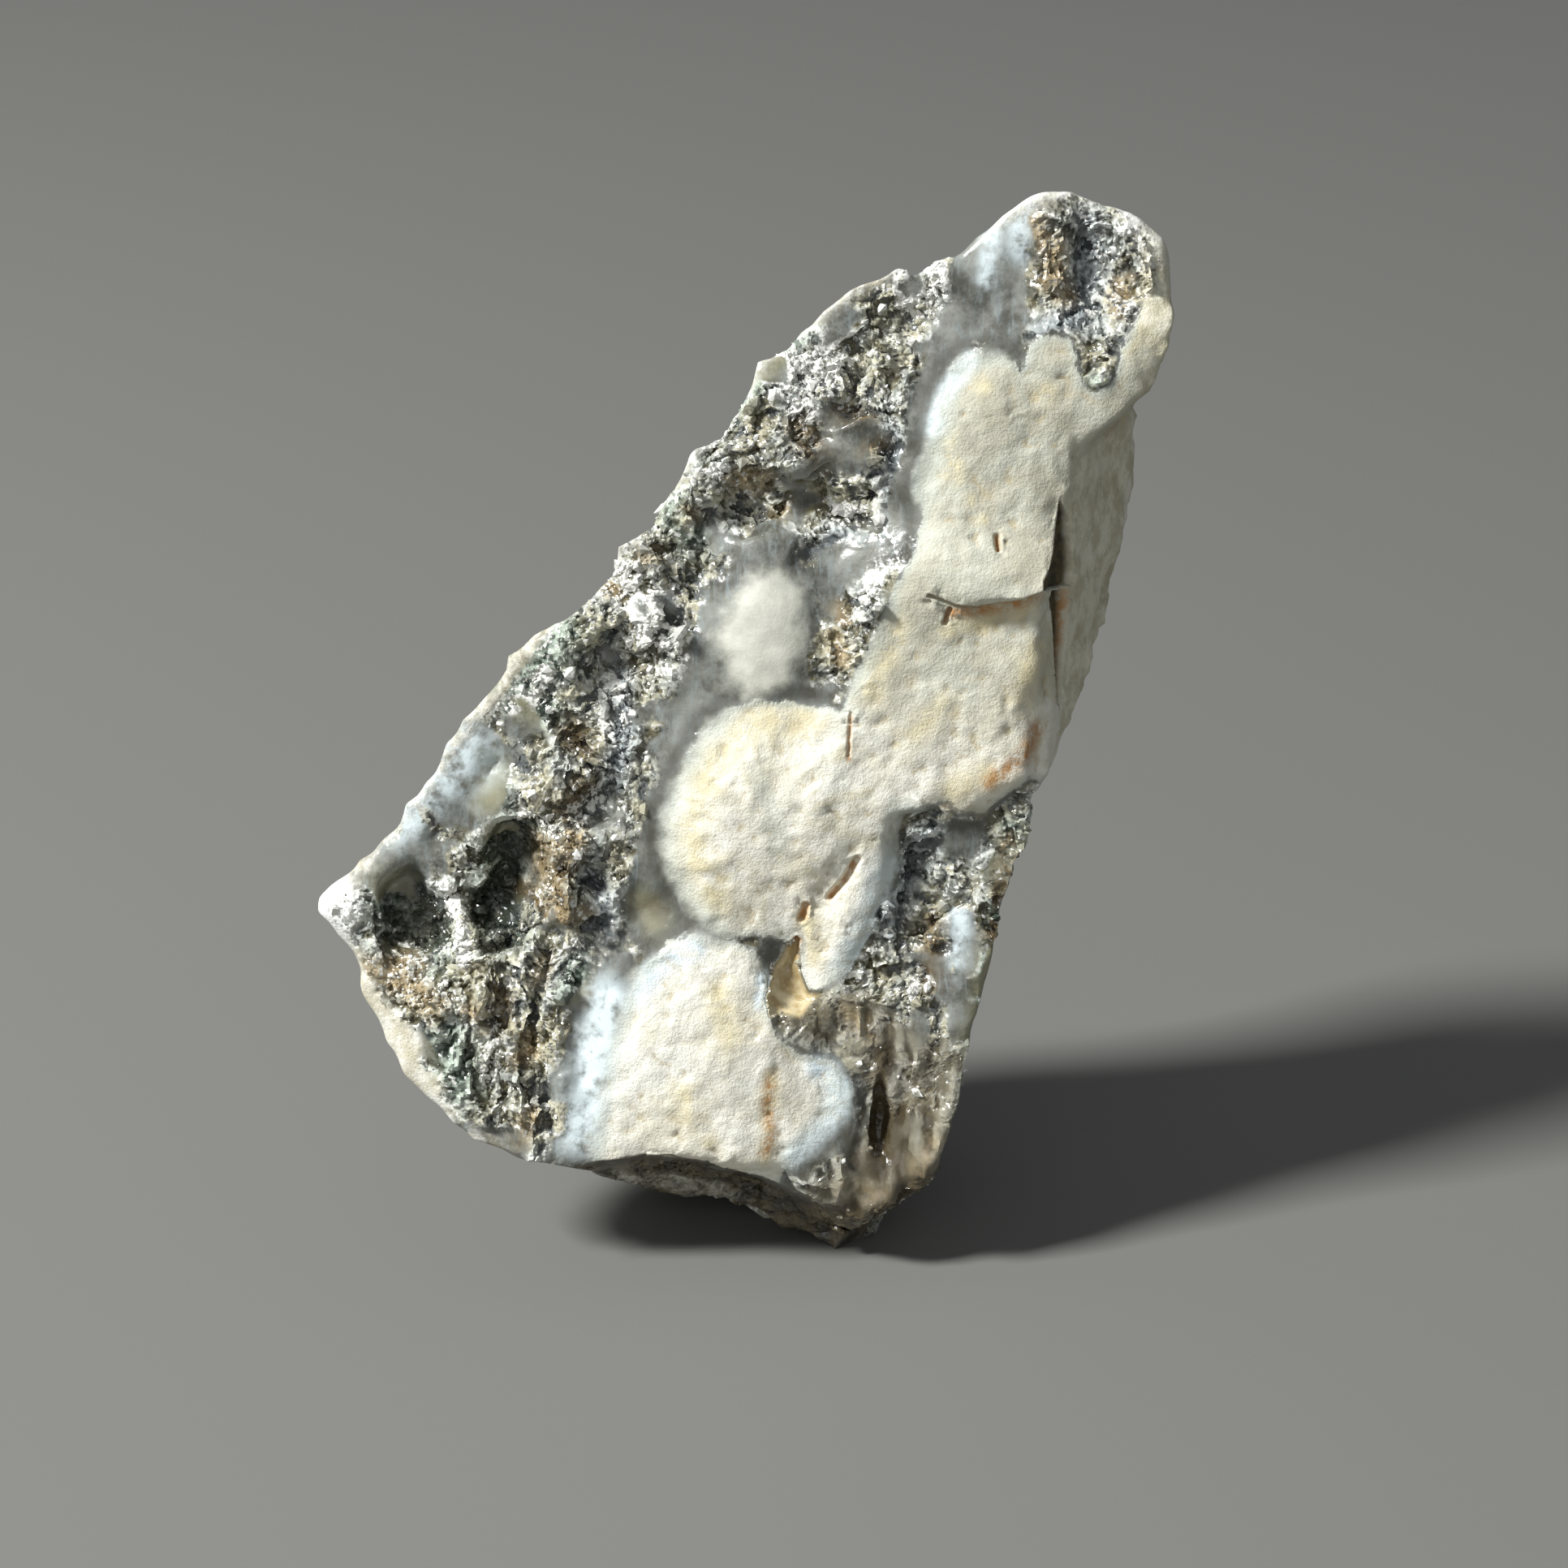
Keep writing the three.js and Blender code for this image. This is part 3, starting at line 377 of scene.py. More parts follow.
def regions(points):
    """Every region's amount at the given frame points, in mm inside or from 0 to 1."""
    p = on_face(points)
    right, high, deep = p.T
    x, up = layer_spot(p)
    ragged = 0.45 * cloud(p, 1.5, 33, 3)
    front = 1 - ease(deep, *FRONT_FADES)
    near_rim = ease(deep, *RIM_FADES)
    under_lip = np.interp(right, LIP_X, LIP_UP) - high
    # below: the underside under the lip, which loses its cream and gets painted shade in the material
    below = ease(under_lip, 0.0, 0.25) * ease(deep, 5.5, 3.5) * ease(right, -14.6, -14.0)
    recess = ease(inside_by(RECESS, right, high) + ragged * 0.2, -0.12, 0.2) * front
    ledge = ease(deepest_inside(LEDGES, right, high), -0.06, 0.06) * front
    pale = ease(deepest_inside(PALE_FACETS, x, up) + ragged * 0.6, -0.2, 0.3) * front
    cream = deepest_inside([UPPER_CREAM, LOWER_CREAM], x, up) - 4 * below - 3 * recess
    cream = cream + (1 - front) * ragged * 2
    calm_back = ease(cloud(p, 7.0, 31, 2), 0.3, -0.1) * 0.75
    calm = ease(deepest_inside(SMOOTH_CHALCEDONY, x, up) + ragged, -0.6, 0.5)
    calm = np.maximum(calm, 0.85 * ease(cloud(p, 2.4, 34, 3), 0.35, 0.7))
    edge = off_line(EDGE, right, high)
    rim = ease(-edge - ragged * 0.5, -np.interp(high, RIM_UP, RIM_WIDTH), -0.1)
    rough = ease(-cream, -0.1, 0.45) * (1 - (front * calm + (1 - front) * calm_back))
    rough = rough * (1 - 0.9 * np.maximum(rim, pale)) * (1 - np.maximum(recess, ledge))
    along_lip = ease(-np.abs(under_lip), -0.5, -0.15) * front * ease(right, 1, -1)
    here = {
        "cream": cream,
        "dome": inside_by(MILKY_DOME, x, up) - 3 * (1 - front),
        "rough": rough * (1 - along_lip),
        "hollow": np.zeros(len(p)),
        "grooves": ease(inside_by(GROOVES, x, up), -0.5, 0.8) * front,
        "glassy": ease(inside_by(GLASSY, x, up), -0.6, 0.6) * front,
        "rim": rim * near_rim,
        "worn": ease(-edge, -1.1, -0.5) * near_rim,
        "tip": ease(-np.hypot(right - TIP[0], high - TIP[1]), -1.9, -1.0),
        "side": ease(right - np.interp(high, RIDGE_UP, RIDGE_X), 0.0, 0.4) * ease(high, 20, 22),
        "below": below,
        "under_white": ease(inside_by(PALE_UNDERSIDE, right, high), -0.3, 0.2) * front,
        # lip: a thin band just under the lip's edge, painted dark as shade
        "lip": ease(under_lip, -0.02, 0.06) * ease(under_lip, 0.5, 0.25) * front * ease(right, 0, -1),
        "recess": recess,
        "ledge": ledge,
        "pale": pale,
        "front": front,
    }
    for depth, outline in HOLLOWS:
        amount = ease(inside_by(outline, x, up), -0.4, 0.7) * front
        here["hollow"] = np.maximum(here["hollow"], amount * depth)
    for salt, (kind, strokes) in enumerate(STROKES.items()):
        elsewhere = ease(cloud(p, 4.5, 70 + salt, 2), 0.35, 0.9) * (1 - front)
        here[kind] = np.maximum(stroked(strokes, x, up) * front, elsewhere * (kind not in THIN))
    return here


# %% [markdown]
# ## The stone's surface
# The frame's mesh has the right breaks but its faces are about 1 mm wide. Triangles are cut in
# four again and again, most often in the rough druse and along cracks, where the finest detail
# is. Between cuts the surface is smoothed, least along real edges and most along the worn rim.
# A Subdivision Surface modifier would round every edge alike and spend as much on plain parts,
# which is why this is done by hand.

# %% Mesh helpers
def mesh_arrays(obj):
    mesh = obj.data
    points = np.empty(len(mesh.vertices) * 3)
    mesh.vertices.foreach_get("co", points)
    mesh.calc_loop_triangles()
    corners = np.empty(len(mesh.loop_triangles) * 3, np.int32)
    mesh.loop_triangles.foreach_get("vertices", corners)
    points = points.reshape(-1, 3) / MM
    _, first, back = np.unique(np.round(points, 3), axis=0, return_index=True, return_inverse=True)
    return points[first], back.reshape(-1)[corners].reshape(-1, 3)


def unique_edges(faces):
    edges = np.sort(faces[:, [0, 1, 1, 2, 2, 0]].reshape(-1, 2), axis=1)
    edges, back = np.unique(edges, axis=0, return_inverse=True)
    return edges, back.reshape(-1, 3)


def cut(points, faces, chosen):
    """Cuts each chosen triangle in four, and its neighbours in two or three so no gap opens."""
    edges, back = unique_edges(faces)
    marked = np.zeros(len(edges), bool)
    marked[back[chosen].ravel()] = True
    middle = np.full(len(edges), -1)
    middle[marked] = len(points) + np.arange(marked.sum())
    points = np.concatenate([points, points[edges[marked]].mean(axis=1)])
    cuts = marked[back].sum(axis=1)
    made = [faces[cuts == 0]]
    for count in (1, 2, 3):
        for turn in range(3 if count < 3 else 1):
            order = [turn, (turn + 1) % 3, (turn + 2) % 3]
            hit = marked[back[:, order]]
            pick = (cuts == count) & hit[:, 0] & (hit[:, 1] | (count == 1))
            a, b, c = faces[pick][:, order].T
            ab, bc, ca = middle[back[pick][:, order]].T
            rows = {
                1: [(a, ab, c), (ab, b, c)],
                2: [(ab, b, bc), (a, ab, bc), (a, bc, c)],
                3: [(a, ab, ca), (ab, b, bc), (ca, bc, c), (ab, bc, ca)],
            }[count]
            made += [np.stack(row, axis=1) for row in rows]
    return points, np.concatenate(made)


def face_normals(points, faces):
    a, b, c = points[faces].transpose(1, 0, 2)
    crossed = np.cross(b - a, c - a)
    return crossed / np.maximum(np.linalg.norm(crossed, axis=1, keepdims=True), 1e-12)


def spread_to_points(values, faces, count):
    """Adds each face's row to its three points."""
    columns = [
        np.bincount(faces.ravel(), np.repeat(column, 3), minlength=count) for column in values.T
    ]
    return np.stack(columns, axis=1)


def point_normals(points, faces):
    total = spread_to_points(face_normals(points, faces), faces, len(points))
    return total / np.maximum(np.linalg.norm(total, axis=1, keepdims=True), 1e-12)


def crease(points, faces):
    """How sharply the surface turns at each point: 0 where flat, 1 at a right angle."""
    mean = spread_to_points(face_normals(points, faces), faces, len(points))
    count = np.bincount(faces.ravel(), minlength=len(points))[:, None]
    return 1 - np.linalg.norm(mean / count, axis=1)


def smooth(points, faces, amount, rounds):
    edges, _ = unique_edges(faces)
    a, b = edges.T
    count = np.bincount(edges.ravel(), minlength=len(points))[:, None]
    for _ in range(rounds):
        total = np.stack([
            np.bincount(a, points[b, axis], minlength=len(points))
            + np.bincount(b, points[a, axis], minlength=len(points))
            for axis in range(3)
        ], axis=1)
        points = points + amount[:, None] * (total / count - points)
    return points


# %% Cracks and slits
CRACK = [(4.2, 29.1), (5.3, 28.6), (6.3, 28.5), (7.9, 28.8), (9.1, 29.2), (10.1, 29.4)]
SLITS = [  # each is a line, how wide its slit is to each side and how deep
    ([(1.2, 17.6), (0.7, 16.7), (0.0, 15.9)], 0.17, 0.35),
    ([(-1.0, 15.5), (-1.2, 14.9)], 0.17, 0.3),
    ([(-1.4, 13.9), (-1.8, 12.5)], 0.14, 0.2),
    ([(7.1, 31.6), (7.15, 31.1)], 0.13, 0.3),
    ([(5.1, 28.4), (4.9, 27.9)], 0.11, 0.3),
    ([(0.9, 24.0), (0.8, 22.2)], 0.08, 0.12),
    ([(10.15, 29.2), (10.05, 27.0), (9.9, 24.2)], 0.12, 0.25),
    (CRACK, 0.08, 0.3),
]


def near_detail(p):
    """1 next to a slit, a ledge or the lip, where the mesh has to be finest."""
    x, up = p[:, 0], p[:, 1]
    away = np.min([off_line(line, x, up) - width for line, width, _ in SLITS], axis=0)
    outlines = [off_line(outline, x, up, closed=True) for outline in (RECESS, *LEDGES)]
    lip = np.abs(np.interp(x, LIP_X, LIP_UP) - up) + 9 * (x > 0)
    away = np.minimum(np.min(outlines, axis=0), np.minimum(away, lip))
    return ease(-away, -0.45, -0.15) * (p[:, 2] < 2)


# %% Cut and smooth the surface
SHARP = (0.03, 0.10)  # crease values between which smoothing fades out
FLOOR_HOLD = 0.3  # points this near the floor keep their place, so the rest spot stays flat
PASSES = [(1.0, 8), (0.54, 3), (0.14, 1), (0.035, 0)]  # share of the faces cut, smoothing rounds


def interest(points, faces):
    """How much fine detail each face needs: rough and front-facing parts first."""
    middles = points[faces].mean(axis=1)
    at = regions(middles)
    front_parts = at["front"] * (0.4 + 0.6 * at["rough"] + 0.3 * at["rim"] + 0.4 * at["tip"])
    return front_parts + 0.25 * at["rough"] + 2 * near_detail(on_face(middles))


def softness(points, faces):
    """How far each point may move towards its neighbours in one round, from 0 to 0.5."""
    here = regions(points)
    soft = 1 - 0.8 * ease(crease(points, faces), *SHARP)
    soft = np.maximum(soft * (1 - 0.7 * here["rough"]), np.maximum(here["worn"], here["tip"]))
    held = ease(points[:, 2], 0, FLOOR_HOLD)
    return 0.5 * soft * held


points, faces = mesh_arrays(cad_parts["ocean_jasper"])
for share, rounds in PASSES:
    needed = interest(points, faces)
    points, faces = cut(points, faces, needed >= np.quantile(needed, 1 - share))
    if rounds:
        points = smooth(points, faces, softness(points, faces), rounds)
    print("stone surface:", len(points), "points,", len(faces), "triangles")

# %% [markdown]
# Now the relief that was too fine for the frame. Cream jasper is compact and breaks with soft
# waves and small pits. Druse breaks into facets of many sizes. Each effect is a depth in mm
# times how much of its region a vertex belongs to.

# %% Push the fine relief into the surface
BULGE = (-2.5, 19.2)  # the middle that the bulge's fibres run out from
BULGE_REACH = 5.2


def folds(p, size, salt):
    """Smooth troughs between sharp crests, from about -1 to 1."""
    return 1 - 2.4 * np.abs(cloud(p, size, salt, 2))


def bulge_rays(x, up):
    """Fine ribs that run out from the middle of the bulge."""
    away = np.hypot(x - BULGE[0], up - BULGE[1])
    turn = np.arctan2(up - BULGE[1], x - BULGE[0])
    rays = cloud(np.column_stack([turn * 9, away * 0.45, 0 * x]), 1.0, 53, 2)
    return rays * ease(-away, -BULGE_REACH, -BULGE_REACH + 1) * ease(away, 1.0, 2.5)


def relief(points, here):
    p = on_face(points)
    x, up = p[:, 0], p[:, 1]
    front = here["front"]
    cream = ease(here["cream"], -0.2, 0.4)
    height = cream * (0.07 * cloud(p, 1.7, 42, 2) + 0.035 * cloud(p, 0.5, 50, 2) + 0.04 * here["rays"])
    height += cream * 0.05 * facets(p, 0.9, 41) - cream * 0.08 * ease(facets(p, 0.6, 43), 0.45, 0.7)
    height += cream * front * 0.06 * facets(p * [1.0, 0.55, 1.0], 1.6, 58)
    pits = ease(facets(p, 0.9, 59), 0.42, 0.6)
    height += cream * (1 - front) * (0.3 * facets(p, 3.4, 54) + 0.16 * facets(p, 1.4, 55) - 0.12 * pits)
    glassy = here["glassy"]
    rough = here["rough"] * (1 - 0.8 * glassy)
    height += rough * (0.26 * facets(p, 1.6, 44) + 0.18 * facets(p, 0.8, 45) + 0.09 * facets(p, 0.36, 51))
    upright_folds = folds(p * [1 / 1.1, 1 / 3.0, 1 / 1.2], 1.0, 56)
    height += glassy * (1 - cream) * (0.18 * upright_folds + 0.08 * facets(p, 0.9, 57))
    ribs = facets(p * [1 / 0.7, 1 / 2.6, 1 / 0.9], 1.0, 47)
    height += here["grooves"] * 0.3 * ribs
    height -= here["hollow"] * (0.8 + 0.3 * cloud(p, 1.2, 46))
    plain = (1 - cream) * (1 - here["rough"]) * (1 - glassy)
    height += plain * (0.06 * cloud(p, 1.3, 48, 2) + 0.03 * facets(p, 0.8, 49))
    height -= 0.16 * here["recess"] + 0.3 * here["ledge"]
    under_crack = np.interp(x, *np.array(CRACK).T) - up
    step = ease(under_crack, 0, 0.08) * ease(under_crack, 2.6, 0.2) * ease(x, 4.4, 6.8) * ease(x, 10.2, 10.0)
    height -= 0.25 * step * front
    for line, width, depth in SLITS:
        away = off_line(line, x, up)
        height -= depth * front * ease(-away, -width * 1.5, 0)
    at_side = ease(x, 4.6, 6.4) * ease(-up, -20, -17)
    quiet = (1 - 0.9 * here["tip"]) * (1 - 0.8 * here["worn"]) * (1 - 0.5 * at_side)
    return height * quiet * ease(points[:, 2], 0.05, 0.9)


here = regions(points)
face_x, face_up, _ = on_face(points).T
here["rays"] = bulge_rays(face_x, face_up) * here["front"]
height = relief(points, here)
points = points + point_normals(points, faces) * height[:, None]
print("relief from", round(height.min(), 2), "to", round(height.max(), 2), "mm")

# %% [markdown]
# Small dips are painted darker, partly as dirt and partly as painted shade, and crests are
# painted paler as painted light. How far a point lies below its smoothed surroundings tells the
# two apart, and the materials use that number later.

# %% Find the dips and crests
DIP_DEPTH = 0.07
levelled = smooth(points, faces, np.full(len(points), 0.6), 7)
dip = ((levelled - points) * point_normals(points, faces)).sum(axis=1) / DIP_DEPTH
dip = np.clip(dip, -1, 1)
print("share of dips and crests:", round(float((dip > 0.5).mean()), 2), round(float((dip < -0.5).mean()), 2))

# %% [markdown]
# ## The stone piece
# The region values go onto the mesh as attributes, so the material can ask for them at any
# spot. Druse faces stay flat-shaded because real facets are flat, and the rest is smooth.


# %% Build the stone from the arrays
def add_piece(name, points, faces, values, smooth_faces):
    mesh = bpy.data.meshes.new(name)
    mesh.from_pydata((points * MM).tolist(), [], faces.tolist())
    mesh.polygons.foreach_set("use_smooth", smooth_faces)
    for label, column in values.items():
        kind = "FLOAT_VECTOR" if column.ndim == 2 else "FLOAT"
        attribute = mesh.attributes.new(label, kind, "POINT")
        attribute.data.foreach_set("vector" if column.ndim == 2 else "value", column.ravel())
    mesh.update()
    piece = bpy.data.objects.new(name, mesh)
    bpy.context.scene.collection.objects.link(piece)
    return piece


values = dict(here, dip=dip, spot=on_face(points))
faceted = values["rough"][faces].mean(axis=1) > 0.45
stone = add_piece("stone_body", points, faces, values, ~faceted)
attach(stone, "root")
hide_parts("ocean_jasper")
print("flat-shaded share:", round(float(faceted.mean()), 2))

# %% [markdown]
# ## Druse crystals
# Druse is a crust of small quartz crystals that grew out into a hollow. Each one is a six-sided
# crystal ending in a pyramid, tilted a little away from straight up and half buried in its
# neighbours. Real meshes catch real glints, which a bump map can't do at this size.

# %% Crystal shapes
rng = np.random.default_rng(7)
SIDES = 6


def crystal_mesh(prism):
    """One closed crystal along z, about 1 across. `prism` is how long its straight sides are."""
    turn = np.arange(SIDES) * 2 * math.pi / SIDES
    ring = np.stack([0.5 * np.cos(turn), 0.5 * np.sin(turn)], axis=1)
    levels = [-prism / 2, prism / 2] if prism else [0.0]
    rings = [np.column_stack([ring, np.full(SIDES, level)]) for level in levels]
    ends = [[0, 0, levels[0] - 0.55], [0, 0, levels[-1] + 0.55]]
    shape = np.concatenate([*rings, ends])
    bottom, top, upper = len(shape) - 2, len(shape) - 1, len(shape) - 2 - SIDES
    faces = []
    for side in range(SIDES):
        after = (side + 1) % SIDES
        faces += [(bottom, after, side), (top, upper + side, upper + after)]
        if prism:
            faces += [(side, after, upper + after), (side, upper + after, upper + side)]
    return shape, np.array(faces)


def scatter(points, faces, chance, rng):
    """Random spots on the surface, where `chance` is how many per square mm each face gets."""
    a, b, c = points[faces].transpose(1, 0, 2)
    crossed = np.cross(b - a, c - a)
    area = np.linalg.norm(crossed, axis=1) / 2
    counts = rng.poisson(area * chance)
    picked = np.repeat(np.arange(len(faces)), counts)
    u, v = rng.random((2, len(picked)))
    flip = u + v > 1
    u, v = np.where(flip, 1 - u, u)[:, None], np.where(flip, 1 - v, v)[:, None]
    spots = a[picked] + u * (b - a)[picked] + v * (c - a)[picked]
    return spots, crossed[picked] / (2 * area[picked, None]), picked


def frames_along(directions, rng):
    """A turned set of three axes for each direction, the last one along it."""
    helper = rng.normal(size=directions.shape)
    side = np.cross(directions, helper)
    side /= np.linalg.norm(side, axis=1, keepdims=True)
    return np.stack([side, np.cross(directions, side), directions], axis=1)


def grow(spots, normals, sizes, tilt, prism, rng):
    """Crystals at the spots as one mesh: points, faces and each point's crystal number."""
    shape, shape_faces = crystal_mesh(prism)
    count = len(spots)
    directions = normals + tilt * rng.normal(size=(count, 3))
    directions /= np.linalg.norm(directions, axis=1, keepdims=True)
    axes = frames_along(directions, rng)
    uneven = 1 + 0.14 * rng.normal(size=(count, len(shape), 3)).clip(-1.5, 1.5)
    stretch = np.column_stack([np.ones((count, 2)), rng.uniform(0.7, 1.3, count)])
    local = shape[None] * uneven * stretch[:, None] * sizes[:, None, None]
    grown = np.einsum("nki,nij->nkj", local, axes) + spots[:, None]
    numbers = np.repeat(np.arange(count), len(shape))
    offsets = (np.arange(count) * len(shape))[:, None, None]
    return grown.reshape(-1, 3), (shape_faces[None] + offsets).reshape(-1, 3), numbers


# %% Grow the crystals
KINDS = ("rust", "brown", "green", "cool", "bright", "hollow", "dip")
middles = points[faces].mean(axis=1)
at = regions(middles)
at["dip"] = dip[faces].mean(axis=1)
face_spot = on_face(middles)
clumps = ease(cloud(face_spot, 1.7, 61, 2), -0.5, 0.6)
druse_here = ease(at["rough"], 0.35, 0.8) * ease(middles[:, 2], 0.6, 1.6) * (1 - 0.9 * at["glassy"])
druse_here = druse_here * ease(-at["rim"], -0.7, -0.1) * (1 - at["below"]) * (0.12 + 0.88 * clumps)
druse_here = druse_here * (1 - 0.7 * ease(face_spot[:, 0], 5.5, 7.0))
front_part = face_spot[:, 2] < 3.5
LAYERS = [  # name, crystals per square mm, more where bright, sizes, tilt, length of the sides
    ("druse_fine", front_part, 13.0, 20.0, (0.12, 0.30), 0.5, 0.0),
    ("druse_coarse", front_part, 2.2, 2.5, (0.3, 0.62), 0.45, 0.4),
    ("druse_back", ~front_part, 3.5, 2.0, (0.26, 0.62), 0.4, 0.0),
]
druse_pieces = []
for name, where, plain_share, bright_share, (small, large), tilt, prism in LAYERS:
    density = where * (plain_share + bright_share * at["bright"]) * druse_here
    spots, normals, picked = scatter(points, faces, density, rng)
    sizes = small + (large - small) * rng.random(len(spots)) ** 2
    spots = spots - normals * sizes[:, None] * (0.16 + 0.5 * prism)
    grown, grown_faces, numbers = grow(spots, normals, sizes, tilt, prism, rng)
    grown = np.maximum(grown, [-1e9, -1e9, 0.0])
    values = {kind: at[kind][picked][numbers] for kind in KINDS}
    # painted shade and painted light: each crystal is darker where it sits low in the crust and paler
    # towards its tip
    out_by = ((grown - spots[numbers]) * normals[numbers]).sum(axis=1) / sizes[numbers]
    values["dip"] = np.clip(values["dip"] * 0.6 - out_by * 0.7, -1, 1)
    values["luck"] = rng.random(len(spots))[numbers]
    values["spot"] = on_face(grown)
    piece = add_piece(name, grown, grown_faces, values, np.zeros(len(grown_faces), bool))
    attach(piece, "root")
    druse_pieces.append(piece)
    print(name, len(spots), "crystals,", len(grown_faces), "triangles")

# %% [markdown]
# ## Materials
# A few helpers keep the node code short: each one adds a node, sets it and returns its output.


# %% Node helpers
def srgb(red, green, blue):
    """A colour given as 0-255 screen values, turned into the linear values that shaders use."""
    channels = np.array([red, green, blue]) / 255
    linear = np.where(channels < 0.04045, channels / 12.92, ((channels + 0.055) / 1.055) ** 2.4)
    return (*linear.tolist(), 1.0)


class Shading:
    """Adds nodes to one node tree. Values may be numbers, colours or other nodes' outputs."""

    def __init__(self, tree):
        self.tree = tree

    def node(self, kind, inputs=None, **settings):
        node = self.tree.nodes.new(kind)
        for key, value in settings.items():
            setattr(node, key, value)
        for key, value in (inputs or {}).items():
            if isinstance(value, bpy.types.NodeSocket):
                self.tree.links.new(value, node.inputs[key])
            else:
                node.inputs[key].default_value = value
        return node

    def attribute(self, name, output="Fac"):
        return self.node("ShaderNodeAttribute", attribute_name=name).outputs[output]

    def sum(self, operation, a, b=0.0):
        return self.node("ShaderNodeMath", {0: a, 1: b}, operation=operation).outputs[0]

    def times(self, a, b):
        return self.sum("MULTIPLY", a, b)

    def vector(self, operation, a, b=(0.0, 0.0, 0.0)):
        return self.node("ShaderNodeVectorMath", {0: a, 1: b}, operation=operation).outputs[0]

    def fade(self, value, low, high, start=0.0, end=1.0):
        inputs = {"Value": value, "From Min": low, "From Max": high, "To Min": start, "To Max": end}
        node = self.node("ShaderNodeMapRange", inputs, interpolation_type="SMOOTHSTEP")
        return node.outputs["Result"]

    def mix(self, amount, a, b):
        return self.node("ShaderNodeMix", {0: amount, 6: a, 7: b}, data_type="RGBA").outputs[2]

    def layers(self, colour, rows):
        """Lays each row's colour over those before it, as much as its amount says."""
        for amount, tone in rows:
            colour = self.mix(amount, colour, srgb(*tone) if isinstance(tone, tuple) else tone)
        return colour

    def noise(self, where, size, detail=3.0, rough=0.55, warp=0.0, seed=0.0):
        inputs = {
            "Vector": where, "W": seed, "Scale": 1 / size, "Detail": detail, "Roughness": rough,
            "Distortion": warp,
        }
        node = self.node("ShaderNodeTexNoise", inputs, noise_dimensions="4D")
        return node.outputs["Fac"]

    def patches(self, where, size, seed, low=0.4, high=0.6):
        """Noise with plain parts between its blobs, from 0 to 1."""
        return self.fade(self.noise(where, size, 5, 0.66, seed=seed), low, high)

    def mottled(self, where, size, seed, dark, light, low=0.4, high=0.6):
        """Patches of a light screen colour on a dark one."""
        return self.mix(self.patches(where, size, seed, low, high), srgb(*dark), srgb(*light))

    def group(self, tree, inputs):
        return self.node("ShaderNodeGroup", inputs, node_tree=tree)


def new_group(name, inputs, outputs):
    """A node group with named sockets, and the helper and the two nodes to fill it in."""
    tree = bpy.data.node_groups.new(name, "ShaderNodeTree")
    for label, kind in inputs:
        tree.interface.new_socket(label, in_out="INPUT", socket_type=kind)
    for label, kind in outputs:
        tree.interface.new_socket(label, in_out="OUTPUT", socket_type=kind)
    s = Shading(tree)
    return tree, s, s.node("NodeGroupInput").outputs, s.node("NodeGroupOutput").inputs


# %% [markdown]
# Some effects belong to every mineral here, so each is a node group: an edge that wanders like
# a real mineral boundary, the colour of druse, and the tiny facets that make it sparkle.

# %% Shared node groups
FLOAT, COLOUR, VECTOR = "NodeSocketFloat", "NodeSocketColor", "NodeSocketVector"

wandering_edge, s, given, out = new_group(
    "wandering_edge",
    [("Spot", VECTOR), ("Inside", FLOAT), ("Wander", FLOAT), ("Size", FLOAT), ("Softness", FLOAT)],
    [("Mask", FLOAT)],
)
fineness = s.sum("DIVIDE", 1.0, given["Size"])
wave = s.node(
    "ShaderNodeTexNoise",
    {"Vector": given["Spot"], "Scale": fineness, "Detail": 4.0, "Roughness": 0.6},
).outputs["Fac"]
push = s.times(s.sum("SUBTRACT", wave, 0.5), s.times(given["Wander"], 2.0))
ratio = s.sum("DIVIDE", s.sum("ADD", given["Inside"], push), given["Softness"])
s.tree.links.new(s.fade(ratio, -1.0, 1.0), out["Mask"])

druse_colour, s, given, out = new_group(
    "druse_colour",
    [("Spot", VECTOR), ("Luck", FLOAT), ("Rust", FLOAT), ("Brown", FLOAT), ("Green", FLOAT),
     ("Cool", FLOAT), ("Bright", FLOAT), ("Hollow", FLOAT), ("Dip", FLOAT)],
    [("Colour", COLOUR)],
)
where = given["Spot"]
uneven = s.fade(s.noise(where, 1.1, 5, 0.7), 0.3, 0.7, 0.7, -0.7)
# painted shade and painted light: the druse is darker in dips and paler on crests
raised = s.fade(s.sum("ADD", given["Dip"], uneven), 0.8, -0.9)
tint = s.mottled(where, 2.2, 2.0, (188, 184, 160), (190, 194, 186), 0.42, 0.58)
dark_tint = s.mottled(where, 1.7, 6.0, (96, 91, 68), (92, 96, 95), 0.42, 0.58)
colour = s.mix(raised, dark_tint, tint)
stains = [  # how much of each, and its colours in the dips and on the crests
    (given["Green"], (60, 72, 62), (178, 190, 176)),
    (given["Cool"], (84, 89, 90), (188, 196, 196)),
    (s.times(given["Brown"], s.patches(where, 0.8, 4.0, 0.34, 0.56)), (50, 42, 28), (134, 116, 84)),
    (s.times(given["Rust"], s.patches(where, 0.7, 8.0, 0.36, 0.58)), (94, 80, 54), (188, 170, 136)),
]
# each stain too is darker in dips and paler on crests, as painted shade and painted light
for amount, in_dips, on_crests in stains:
    colour = s.mix(amount, colour, s.mix(raised, srgb(*in_dips), srgb(*on_crests)))
# painted shade: the druse in the hollows turns nearly black
colour = s.layers(colour, [(s.fade(given["Hollow"], 0.15, 0.9, 0.0, 0.75), (26, 32, 27))])
# white flecks: partly milky quartz grains and partly painted glints, fewer in dips and hollows
share_pale = s.fade(given["Bright"], 0.0, 1.0, 0.24, 1.7)
for thinned in (
    s.fade(s.noise(where, 0.8, 3, seed=9.0), 0.4, 0.62, 0.3, 1.0),
    s.fade(given["Dip"], 0.6, -0.2, 0.25, 1.2),
    s.fade(given["Hollow"], 0.1, 0.6, 1.0, 0.3),
):
    share_pale = s.times(share_pale, thinned)
pale = s.fade(s.sum("ADD", given["Luck"], share_pale), 1.0, 1.06)
s.tree.links.new(s.mix(pale, colour, srgb(236, 236, 229)), out["Colour"])

